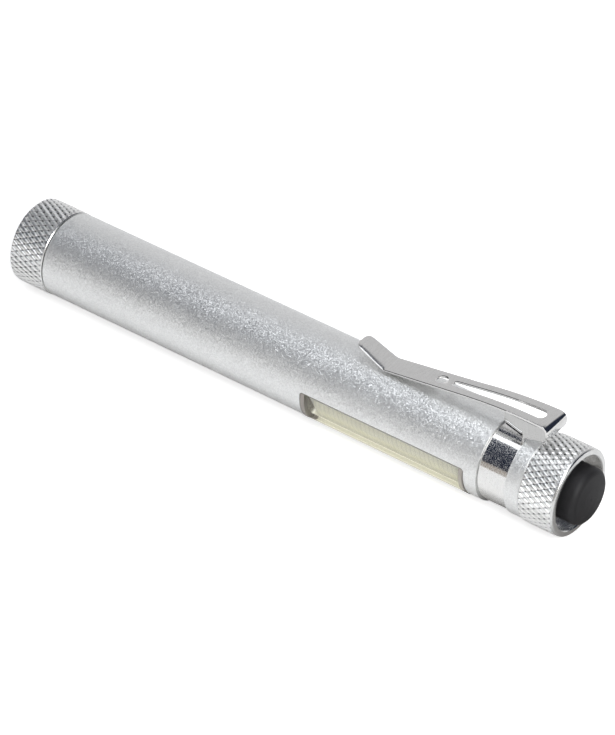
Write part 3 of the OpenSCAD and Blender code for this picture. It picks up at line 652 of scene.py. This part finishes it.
def ring_inside(x_rim, x_end, mouth_r, way):
    """Points of a ring's inside from its rim: a flare down to the lens's lip, or the button's chamber."""
    inner_r = 6.05 * MM
    if way < 0:
        flare_r, lip_r, flare_depth, lip_depth = 7.3 * MM, 5.3 * MM, 1.2 * MM, 1.6 * MM
        lip_0, lip_1 = x_rim + flare_depth, x_rim + lip_depth
        return [(x_rim, flare_r), (lip_0, lip_r), (lip_1, lip_r), (lip_1, inner_r), (x_end, inner_r)]
    edge, chamber_r, mouth_depth, chamber_depth = 0.2 * MM, 7.6 * MM, 2.4 * MM, 6.5 * MM
    chamber_0, chamber_1 = x_rim - mouth_depth, x_rim - chamber_depth
    return [(x_rim, mouth_r + edge), (x_rim - edge, mouth_r), (chamber_0, mouth_r), (chamber_0, chamber_r),
            (chamber_1, chamber_r), (chamber_1, inner_r), (x_end, inner_r)]


def knurled_ring(knurl, x_seam, x_rim, x_end, way):
    """A bmesh of a knurled ring with its spigot and thread, and the two ends of its knurling.

    way is 1 where the rim is the end with the larger X. The knurling takes material 1, and the tail's rim
    material 2."""
    land, land_drop, wall_drop = 0.04 * MM, 0.05 * MM, 0.2 * MM
    spigot_r, groove_r, mouth_r = 7.15 * MM, 6.44 * MM, 7.75 * MM
    thread_depth, thread_gap = 0.36 * MM, 0.3 * MM
    groove_near, groove_far = 1.0 * MM, 1.94 * MM
    groove_0, groove_1 = x_seam - way * groove_near, x_seam - way * groove_far
    x_thread = groove_1 - way * thread_gap
    root_r = spigot_r - thread_depth
    land_r = CREST_R - land_drop
    core_r = CREST_R - knurl.depth - wall_drop
    rim_round = knurl.rim_round if way > 0 else knurl.rim_round / 2
    knurl_0 = x_seam + way * (knurl.bevel + land)
    knurl_1 = x_rim - way * (rim_round + land)
    outside = [(x_end, root_r), (x_thread, root_r), (x_thread, spigot_r), (groove_1, spigot_r),
               (groove_1, groove_r), (groove_0, groove_r), (groove_0, spigot_r), (x_seam, spigot_r),
               (x_seam, land_r - knurl.bevel), (x_seam + way * knurl.bevel, land_r), (knurl_0, land_r),
               (knurl_0, core_r), (knurl_1, core_r), (knurl_1, land_r)]
    outside += rounded(x_rim, land_r, rim_round, -way, -1)
    blank = spun(outside + ring_inside(x_rim, x_end, mouth_r, way))
    slack_x, slack_r = 0.02 * MM, 0.05 * MM
    x_rim_face, r_rim_face = knurl_1 + slack_x, mouth_r - slack_r
    for face in blank.faces:
        spot = face.calc_center_median()
        if way > 0 and spot.x > x_rim_face and math.hypot(spot.y, spot.z) > r_rim_face:
            face.material_index = 2
    ends = sorted((knurl_0, knurl_1))
    sleeve = knurl_sleeve(*ends, CREST_R, knurl, land_r)
    for face in sleeve.faces:
        face.material_index = 1
    thread = thread_sleeve(x_thread, x_end + way * thread_gap, spigot_r, way)
    return joined(blank, sleeve, thread), ends


class PENLIGHT_OT_knurled_rings(bpy.types.Operator):
    """Builds the knurled head and tail rings with their spigots and threads"""

    bl_idname = "penlight.knurled_rings"
    bl_label = "Knurled rings"

    def execute(self, context):
        knurl = context.scene.penlight_knurl
        bright = context.scene.penlight_finish.bright
        metal = bright_metal("bright_knurl", bright)
        # The tail's rim: the same bright metal, darker
        darker_rim_metal = bright_metal("darker_rim", shade(bright, 0.82))
        for name, node, body, x_seam, x_rim, x_end, way in (
                ("head_bezel", "head_ring", "head_group", X_HEAD, HEAD[0].x, HEAD[1].x, -1),
                ("tail_bezel", "tail_cap", "tail_group", X_TAIL, TAIL[1].x, TAIL[0].x, 1)):
            ring, ends = knurled_ring(knurl, x_seam, x_rim, x_end, way)
            knurled = knurled_metal(name + "_knurl", bright, *ends, knurl)
            finished(ring, name, body, (metal, knurled, darker_rim_metal), 28, replaces=(node,))
        return {"FINISHED"}


class PENLIGHT_OT_barrel(bpy.types.Operator):
    """Gives the barrel and its collar their blasted finish"""

    bl_idname = "penlight.barrel"
    bl_label = "Barrel"

    def execute(self, context):
        finish = context.scene.penlight_finish
        satin = satin_metal("satin_barrel", finish.satin)
        for node in ("barrel", "tail_collar"):
            paint(node, satin)
        return {"FINISHED"}


# The clip: sizes and places that its sheet, its band and its cheek share
BEND_R = 1.2 * MM
CONTACT_REACH = 38.8 * MM
GROOVE_DEPTH, GROOVE_WIDTH, BAND_PLAY = 1.02 * MM, 6.5 * MM, 0.06 * MM
X_FLEX = ARM[1].x
X_BAND_0 = COLLAR[0].x - GROOVE_WIDTH + BAND_PLAY
X_BAND_1 = COLLAR[0].x - BAND_PLAY
BAND_IN = BARREL_R - GROOVE_DEPTH + BAND_PLAY


def sheet_corner(clip):
    """The corner over the band in X and Z, in the middle of the clip's sheet."""
    return BAND[1].x - clip.sheet / 2, BAND[1].z - clip.sheet / 2


def sheet_path(clip):
    """Points in X and Z along the middle of the clip's sheet, from its lifted tip to the end of its wall."""
    x_wall, back = sheet_corner(clip)
    contact_gap, contact_r = 0.5 * MM, 1.6 * MM
    tip_run, tip_lift = 6.9 * MM, 2.95 * MM
    bow_l, wall_l = 15.0 * MM, 2.5 * MM
    x_contact = x_wall - CONTACT_REACH
    contact_z = BARREL_R + contact_gap + clip.sheet / 2
    x_bow = x_wall - BEND_R - clip.sheet - bow_l / 2
    slope = math.atan((back - contact_z) / (x_bow - x_contact))
    bow_r = bow_l / 2 / math.tan(slope / 2)
    line = [(x_contact - tip_run, contact_z + tip_lift), (x_contact, contact_z), (x_bow, back),
            (x_wall, back), (x_wall, back - wall_l)]
    path = [Vector(line[0])]
    for i, (r, steps) in enumerate(((contact_r, 12), (bow_r, 30), (BEND_R, 16)), 1):
        path += round_corner(line[i - 1], line[i], line[i + 1], r, steps)
    path.append(Vector(line[-1]))
    return path


def run_at(path, runs, x):
    """The run along a path where it passes a station."""
    for a, b, run_a, run_b in zip(path, path[1:], runs, runs[1:]):
        if a.x <= x <= b.x and b.x > a.x:
            return run_a + (x - a.x) / (b.x - a.x) * (run_b - run_a)
    return runs[-1]


def flat_sheet(clip, path, runs):
    """A bmesh of the clip's sheet before it is bent, with its slot and hole: X is the run along its path.

    The outer bevel on the cheek's side takes material 1 from the contact bend on: on the strip the near-black
    steel, a painted dark line of shade along that edge."""
    slot_to_wall, hole_to_slot, waist_to_wall = 2.4 * MM, 1.35 * MM, 19.0 * MM
    tip_round, end_round, edge_bevel = 1.4 * MM, 0.9 * MM, 0.10 * MM
    x_wall = sheet_corner(clip)[0]
    x_slot_1 = x_wall - slot_to_wall
    x_slot_0 = x_slot_1 - clip.slot_length
    x_hole = x_slot_0 - hole_to_slot - clip.hole / 2
    contact, waist, slot_0, slot_1, hole = (run_at(path, runs, x) for x in (
        x_wall - CONTACT_REACH, x_wall - waist_to_wall, x_slot_0, x_slot_1, x_hole))
    sides = [(0.0, clip.tip_width / 2), (contact, clip.contact_width / 2), (waist, clip.waist_width / 2),
             (runs[-2], clip.root_width / 2), (runs[-1], clip.root_width / 2)]
    outline = [(x, -y) for x, y in sides] + sides[::-1]
    radii = [tip_round, 0, 0, 0, end_round, end_round, 0, 0, 0, tip_round]
    sheet = prism(rounded_outline(outline, radii), -clip.sheet / 2, clip.sheet / 2)
    narrow, wide = clip.slot_narrow / 2, clip.slot_width / 2
    narrow_r, wide_r = narrow * 0.98, wide * 0.95
    slot = rounded_outline([(slot_0, -narrow), (slot_1, -wide), (slot_1, wide), (slot_0, narrow)],
                           [narrow_r, wide_r, wide_r, narrow_r], 10)
    ring = [(hole + clip.hole / 2 * math.cos(a), clip.hole / 2 * math.sin(a))
            for a in (math.tau * i / 40 for i in range(40))]
    for opening in (slot, ring):
        sheet = cut_by(sheet, prism(opening, -2 * clip.sheet, 2 * clip.sheet))
    bmesh.ops.remove_doubles(sheet, verts=sheet.verts, dist=NEAR)
    bevel(sheet, edge_bevel)
    # The near outer bevel past the contact bend: a painted dark line of shade
    for face in sheet.faces:
        if face.normal.y < -0.3 and face.normal.z > 0.3 and face.calc_center_median().x > contact:
            face.material_index = 1
    return sheet


def bend(sheet, path, runs):
    """Bends a flat sheet along a path."""
    for run in runs[1:-1]:
        split(sheet, (run, 0, 0), (1, 0, 0))
    for v in sheet.verts:
        i = 0
        while i < len(runs) - 2 and runs[i + 1] < v.co.x:
            i += 1
        step = (path[i + 1] - path[i]).normalized()
        point = path[i] + step * (v.co.x - runs[i])
        before = (path[i] - path[i - 1]).normalized() if i else step
        after = (path[i + 2] - path[i + 1]).normalized() if i + 2 < len(path) else step
        share = (v.co.x - runs[i]) / (runs[i + 1] - runs[i])
        way = ((before + step) * (1 - share) + (step + after) * share).normalized()
        v.co = (point.x - way.y * v.co.z, v.co.y, point.y + way.x * v.co.z)


def half_sheet(sheet, side):
    """A copy of the part of a sheet on one side of the clip's flexing line, closed where it is cut."""
    half = sheet.copy()
    made = split(half, (X_FLEX, 0, 0), (side, 0, 0), clear_inner=True)
    rim = [g for g in made["geom_cut"] if isinstance(g, bmesh.types.BMEdge)]
    bmesh.ops.holes_fill(half, edges=rim, sides=0)
    bmesh.ops.recalc_face_normals(half, faces=half.faces)
    return half


def clip_band(clip):
    """A bmesh of the band, with edge loops beside its rounded edges; it takes material 1, the lighter chrome,
    painted light.
    """
    edge = 0.10 * MM
    band_out = BAND_IN + clip.sheet
    ring = rounded(X_BAND_0, band_out, edge, 1, -1)[::-1]
    ring += [(X_BAND_0 + 2 * edge, band_out), (X_BAND_1 - 2 * edge, band_out)]
    ring += rounded(X_BAND_1, band_out, edge, -1, -1) + [(X_BAND_1, BAND_IN), (X_BAND_0, BAND_IN)]
    band = spun(ring, 192)
    for face in band.faces:
        face.material_index = 1
    return band


def rod(a, b, r, index):
    """A bmesh of a thin rod from a to b."""
    turned = (b - a).to_track_quat("Z", "Y").to_matrix().to_4x4()
    turned.translation = (a + b) / 2
    bm = bmesh.new()
    bmesh.ops.create_cone(bm, segments=20, radius1=r, radius2=r, depth=(b - a).length, cap_ends=True,
                          matrix=turned)
    for face in bm.faces:
        face.material_index = index
    return bm


def clip_cheek(clip):
    """A bmesh of the cheek between the sheet and the band, turned inward behind its crease.

    Its outer face takes material 2, a darker copy of the chrome as painted shade, and its underside 3,
    near-black steel as painted shadow.
    Two rods form the bright fold under its front edge and, in near-black steel, a painted shadow below it."""
    t = clip.sheet
    x_wall, back = sheet_corner(clip)
    turn, crease_turn, inset = math.radians(2.1), math.radians(7), 0.04 * MM
    front_lead, front_drop, waist_run, waist_rise = 0.4 * MM, 2.6 * MM, 0.2 * MM, 2.15 * MM
    foot_lap, lip_run_0, lip_run_1, lip_rise = 0.5 * MM, 0.3 * MM, 1.2 * MM, 1.15 * MM
    heel_run, heel_rise_0, heel_rise_1 = 1.6 * MM, 0.3 * MM, 1.9 * MM
    x_end = x_wall + t / 2 - inset
    side = clip.root_width / 2 - inset - t / 2
    foot = math.sqrt((BAND_IN + t / 4) ** 2 - (side - t / 2 - (x_end - X_BAND_1) * math.tan(turn)) ** 2)
    x_front, z_front = X_FLEX - front_lead, back - front_drop
    z_waist, z_lip = BAND_IN + t + waist_rise, CREST_R + lip_rise
    front_r, waist_r, lip_r, heel_0_r, heel_1_r = 0.4 * MM, 0.3 * MM, 0.5 * MM, 0.8 * MM, 0.7 * MM
    corners = [(x_front, back - t, 0), (x_front, z_front, front_r), (X_BAND_1 + waist_run, z_waist, waist_r),
               (X_BAND_1 - foot_lap, foot, 0), (X_BAND_1, foot, 0),
               (X_BAND_1 + lip_run_0, z_lip - t, waist_r), (X_BAND_1 + lip_run_1, z_lip, lip_r),
               (x_end - heel_run, z_lip + heel_rise_0, heel_0_r),
               (x_end, z_lip + heel_rise_1, heel_1_r), (x_end, back - BEND_R, 0),
               (x_end - BEND_R, back - t / 2, 0)]
    outline = rounded_outline([(x, z) for x, z, r in corners], [r for x, z, r in corners], 8)
    cheek = prism(outline, -t / 2, t / 2)
    bmesh.ops.transform(cheek, verts=cheek.verts, matrix=Matrix.Rotation(math.radians(90), 4, "X"))

    crease_run_0, crease_run_1 = 0.1 * MM, 3.3 * MM
    crease_foot = Vector((X_BAND_1 + crease_run_0, 0, foot))
    crease_top = Vector((X_BAND_1 + crease_run_1, 0, back))
    across = (crease_top - crease_foot).cross(Vector((0, 1, 0))).normalized()
    split(cheek, crease_foot, across)
    rim_round, edge_bevel, round_drop, under_rise = 0.30 * MM, 0.07 * MM, 2.2 * MM, 2 * MM
    y_face, z_round, z_under = NEAR - t / 2, back - round_drop, z_lip + under_rise
    bevel(cheek, rim_round, 5, keep=lambda e: all(v.co.y < y_face and v.co.z < z_round for v in e.verts))
    bevel(cheek, edge_bevel)
    for face in cheek.faces:
        # Outer face: the darker copy of the chrome, painted shade
        if face.normal.y < -0.97:
            face.material_index = 2
        # Underside: near-black steel, painted shadow
        elif face.normal.z < -0.35 and face.calc_center_median().z < z_under:
            face.material_index = 3
    for v in cheek.verts:
        behind = (v.co - crease_foot).dot(across)
        if behind * across.x > 0:
            v.co.y += abs(behind) * math.tan(crease_turn)

    # The second rod, in near-black steel, is a painted shadow under the bright fold
    # Each rod: how far out it lies, how far below the edge, its radius and its material
    fold_out, fold_run, fold_lap, fold_rise = 0.06 * MM, 0.5 * MM, 0.2 * MM, 0.1 * MM
    for y, drop, r, index in ((fold_out - t / 2, -0.16 * MM, 0.26 * MM, 0), (0, 0.34 * MM, 0.36 * MM, 3)):
        front = Vector((x_front + fold_run, y, z_front - drop))
        waist = Vector((X_BAND_1 - fold_lap, y, z_waist + fold_rise - drop))
        cheek = joined(cheek, rod(front, waist, r, index))
    place = Matrix.Translation((x_end, -side, 0)) @ Matrix.Rotation(-turn, 4, "Z")
    bmesh.ops.transform(cheek, verts=cheek.verts, matrix=place @ Matrix.Translation((-x_end, 0, 0)))
    bmesh.ops.recalc_face_normals(cheek, faces=cheek.faces)
    return cheek


class PENLIGHT_OT_clip(bpy.types.Operator):
    """Builds the formed clip: its strip, its cheek and its band"""

    bl_idname = "penlight.clip"
    bl_label = "Clip"

    def execute(self, context):
        clip = context.scene.penlight_clip
        colour = context.scene.penlight_finish.chrome
        chrome = polished_steel("chrome_clip", colour)
        # The band's chrome: a lighter copy of the clip's, painted light
        specked_lit_chrome = polished_steel("lit_chrome_band", shade(colour, 1.12), specks=0.42)
        # The cheek's chrome: a darker copy of the clip's, painted shade
        shaded_cheek_chrome = polished_steel("shaded_chrome_cheek", shade(colour, 0.74), specks=0.20)
        dark = polished_steel("shaded_steel", (0.035, 0.035, 0.04), specks=0.30)
        path = sheet_path(clip)
        runs = [0.0]
        for a, b in zip(path, path[1:]):
            runs.append(runs[-1] + (b - a).length)
        sheet = flat_sheet(clip, path, runs)
        bend(sheet, path, runs)
        arm, root = half_sheet(sheet, -1), half_sheet(sheet, 1)
        sheet.free()
        finished(arm, "clip_strip", "arm_group", (chrome, dark), 40, replaces=("clip_arm",))
        saddle = joined(root, clip_band(clip), clip_cheek(clip))
        finished(saddle, "clip_saddle", "clip_group", (chrome, specked_lit_chrome, shaded_cheek_chrome, dark), 40,
                 replaces=("clip_root",))
        return {"FINISHED"}


class PENLIGHT_OT_lamps(bpy.types.Operator):
    """Gives the strip lamp, the front lamp, their covers and the boards their finishes"""

    bl_idname = "penlight.lamps"
    bl_label = "Lamps"

    def execute(self, context):
        finish = context.scene.penlight_finish
        paint("strip_cover", clear_cover("clear_cover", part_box("strip_cover"), math.radians(115)))
        paint("head_lens", lens_glass("clear_lens"))
        paint("strip_lamp", lamp_gel("strip_gel", finish.lamp, chip=1.1 * MM))
        paint("head_led", lamp_gel("lamp_gel", shade(finish.lamp, 0.95)))
        for node in ("strip_board", "led_board"):
            paint(node, circuit_board(node + "_finish", (0.80, 0.80, 0.76)))
        paint("tail_board", circuit_board("green_board_finish", (0.05, 0.20, 0.09)))
        paint("reflector", polished_steel("mirror_cup", (0.90, 0.90, 0.91)))
        return {"FINISHED"}


class PENLIGHT_OT_button(bpy.types.Operator):
    """Gives the push button, its ring and the sealing rings their finishes"""

    bl_idname = "penlight.button"
    bl_label = "Push button"

    def execute(self, context):
        finish = context.scene.penlight_finish
        paint("push_button", black_rubber("rubber_button", finish.rubber))
        paint("button_ring", bright_metal("turned_ring", shade(finish.bright, 0.95), turned=True))
        for node in ("head_seal", "tail_seal", "lens_gasket"):
            paint(node, black_rubber(node + "_rubber", finish.rubber))
        return {"FINISHED"}


class PENLIGHT_OT_works(bpy.types.Operator):
    """Finishes the works inside: cells, carrier, switch and contacts"""

    bl_idname = "penlight.works"
    bl_label = "Works inside"

    def execute(self, context):
        black = moulded_plastic("black_plastic_finish", (0.035, 0.035, 0.04))
        for node in ("battery_carrier", "contact_insulator", "switch_body"):
            paint(node, black)
        paint("switch_plunger", moulded_plastic("white_plastic_finish", (0.72, 0.71, 0.67)))
        brass = turned_brass("brass_finish", (0.80, 0.60, 0.30))
        for node in ("led_pill", "front_contact", "switch_lock_ring"):
            paint(node, brass)
        paint("tail_spring", bright_metal("spring_wire", (0.60, 0.61, 0.62)))
        for node in ("front_battery", "rear_battery"):
            paint(node, cell_jacket(node + "_film", (0.10, 0.20, 0.18)))
        return {"FINISHED"}


# The lamps: name, place, size, power in watts and colour; each one is turned to the origin
LAMPS = (
    ("key_lamp", (0.60, -0.30, 0.52), (0.40, 0.40), 4.4, (1.0, 0.99, 0.97)),
    ("overhead_lamp", (0.078, -0.09, 0.30), (0.26, 0.36), 0.58, (0.94, 0.97, 1.0)),
    ("front_lamp", (-0.082, -0.02, 0.30), (0.05, 0.22), 0.070, (0.97, 0.98, 1.0)),
)
FLOOR_REACH = 4.0

# The photo's camera, fitted to the rings, the barrel's edges and the clip: sensor in mm, angles in radians
SENSOR = 36.0
FOCAL_PIXELS, PHOTO_PIXELS = 3790.44, 735
AZIMUTH, ELEVATION = 0.658744, 0.652759
DISTANCE, AIM_RIGHT, AIM_DOWN = 0.749891, 0.0020101, 0.0013164


class PENLIGHT_OT_stage(bpy.types.Operator):
    """Sets the floor, the lamps, the surroundings and the camera"""

    bl_idname = "penlight.stage"
    bl_label = "Stage"

    def execute(self, context):
        scene = context.scene
        bm = bmesh.new()
        bmesh.ops.create_grid(bm, x_segments=1, y_segments=1, size=FLOOR_REACH)
        bmesh.ops.translate(bm, verts=bm.verts, vec=(0, 0, -CREST_R))
        floor = linked("floor", mesh_of(bm, "floor"))
        floor.data.materials.append(floor_material())
        surroundings(scene)
        for name, place, size, power, colour in LAMPS:
            light = bpy.data.lights.new(name, "AREA")
            light.shape = "RECTANGLE"
            light.size, light.size_y = size
            light.energy = power
            light.color = colour
            lamp = linked(name, light)
            lamp.location = place
            lamp.rotation_euler = Vector(place).to_track_quat("Z", "Y").to_euler()
        cam = bpy.data.cameras.new("camera")
        cam.sensor_width = SENSOR
        cam.lens = SENSOR * FOCAL_PIXELS / PHOTO_PIXELS
        cam.clip_start, cam.clip_end = 0.05, 20.0
        camera = linked("camera", cam)
        back = Vector((math.sin(AZIMUTH) * math.cos(ELEVATION), -math.cos(AZIMUTH) * math.cos(ELEVATION),
                       math.sin(ELEVATION)))
        right = Vector((math.cos(AZIMUTH), math.sin(AZIMUTH), 0))
        up = back.cross(right)
        camera.location = back * DISTANCE + right * AIM_RIGHT - up * AIM_DOWN
        camera.rotation_euler = back.to_track_quat("Z", "Y").to_euler()
        scene.camera = camera
        scene.view_settings.view_transform = "Standard"
        return {"FINISHED"}


def floor_material():
    """A pale floor: white with a soft shadow to the camera; in reflections a painted glow that grows with
    distance, and a painted shadow in a strip close beside the penlight."""
    material = bpy.data.materials.new("white_floor")
    material.use_nodes = True
    s = Shader(material.node_tree)
    near_0, near_1, far_0, far_1, fibre = 0.002, 0.014, 0.08, 0.40, 0.02
    white, glow_near, glow_far, painted_shadow_tone = 0.66, 0.26, 0.66, (0.38, 0.37, 0.36, 1)
    rays = s.node("ShaderNodeLightPath").socket.node.outputs
    camera_ray, through_ray, mirror_ray = (Value(s, rays[name]) for name in (
        "Is Camera Ray", "Is Transmission Ray", "Is Glossy Ray"))
    shown = (camera_ray + through_ray) * white
    x, y, z = s.parts(s.place())
    # Painted glow in reflections, dim near the penlight and brighter far off
    far = ((x * x + y * y) ** 0.5).ramp(far_0, far_1, glow_near, glow_far)
    # A painted shadow in reflections, in a strip close beside the penlight
    past_painted_shadow = y.absolute().ramp(near_0, near_1)
    mirrored = mirror_ray * (far + past_painted_shadow - 1).clamped()
    paper = s.noise(fibre, 3.0)
    tone = s.blend(paper, (0.70, 0.70, 0.70, 1), (0.72, 0.72, 0.72, 1))
    tone = s.blend(mirror_ray * (1 - past_painted_shadow), tone, painted_shadow_tone)
    diffuse = s.node("ShaderNodeBsdfDiffuse", {}, {"Color": tone})
    glow = s.node("ShaderNodeEmission", {}, {"Color": (1, 1, 1, 1), "Strength": shown + mirrored})
    both = s.node("ShaderNodeAddShader", {}, [diffuse, glow])
    s.node("ShaderNodeOutputMaterial", {}, {"Surface": both})
    return material


def surroundings(scene):
    """A dim room overhead, a pale backdrop behind, a taupe wall with a grey card over it in front, a bright
    horizon and a window low on the left, all of it white to the camera."""
    world = bpy.data.worlds.new("studio")
    scene.world = world
    world.use_nodes = True
    s = Shader(world.node_tree)
    # Each mask is a smooth step of the direction looked in: Z is up, and Y points away from the camera
    x, y, z = s.parts(s.node("ShaderNodeTexCoord", output="Generated"))
    backdrop = (y * 0.927 - z * 0.375).ramp(-0.04, 0.08) * x.ramp(0.38, 0.12)
    wall = (0.0 - y).ramp(0.0, 0.1) * z.ramp(0.23, 0.19)
    card = (0.0 - y).ramp(0.12, 0.40) * x.ramp(-0.34, -0.08) * z.ramp(0.76, 0.50)
    window = x.ramp(-0.58, -0.74) * z.ramp(0.34, 0.16)
    low = z.ramp(0.06, 0.0)
    colour = s.blend(backdrop, (0.024, 0.030, 0.050, 1), (0.68, 0.68, 0.69, 1))
    colour = s.blend(card, colour, (0.45, 0.44, 0.43, 1))
    colour = s.blend(wall * (1 - card), colour, (0.46, 0.42, 0.38, 1))
    colour = s.blend(low * (1 - wall), colour, (0.75, 0.75, 0.75, 1))
    colour = s.blend(window, colour, (1.15, 1.15, 1.15, 1))
    shown = s.node("ShaderNodeLightPath", output="Is Camera Ray")
    colour = s.blend(shown, colour, (1, 1, 1, 1))
    sky = s.node("ShaderNodeBackground", {}, {"Color": colour, "Strength": 1.0})
    s.node("ShaderNodeOutputWorld", {}, {"Surface": sky})


def paint(node, material):
    """Gives a CAD node one material."""
    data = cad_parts[node].data
    data.materials.clear()
    data.materials.append(material)


class PENLIGHT_PT_pieces(bpy.types.Panel):
    """Lists the pieces and their settings"""

    bl_idname = "PENLIGHT_PT_pieces"
    bl_label = "Penlight"
    bl_space_type = "VIEW_3D"
    bl_region_type = "UI"
    bl_category = "Penlight"

    def draw(self, context):
        layout = self.layout
        for name in SETTINGS:
            group = getattr(context.scene, name)
            for key in group.__annotations__:
                layout.prop(group, key)
        for operator in OPERATORS:
            layout.operator(operator.bl_idname)


SETTINGS = {"penlight_knurl": KnurlSettings, "penlight_clip": ClipSettings, "penlight_finish": FinishSettings}
OPERATORS = (PENLIGHT_OT_knurled_rings, PENLIGHT_OT_barrel, PENLIGHT_OT_clip, PENLIGHT_OT_lamps,
             PENLIGHT_OT_button, PENLIGHT_OT_works, PENLIGHT_OT_stage)


def register():
    for cls in (*SETTINGS.values(), *OPERATORS, PENLIGHT_PT_pieces):
        bpy.utils.register_class(cls)
    for name, cls in SETTINGS.items():
        setattr(bpy.types.Scene, name, PointerProperty(type=cls))


def unregister():
    for name in SETTINGS:
        delattr(bpy.types.Scene, name)
    for cls in (PENLIGHT_PT_pieces, *reversed(OPERATORS), *reversed(SETTINGS.values())):
        bpy.utils.unregister_class(cls)


def main():
    register()
    for operator in OPERATORS:
        group, name = operator.bl_idname.split(".")
        if getattr(getattr(bpy.ops, group), name)() != {"FINISHED"}:
            raise RuntimeError(f"{operator.bl_label} did not finish")


if __name__ == "__main__":
    main()
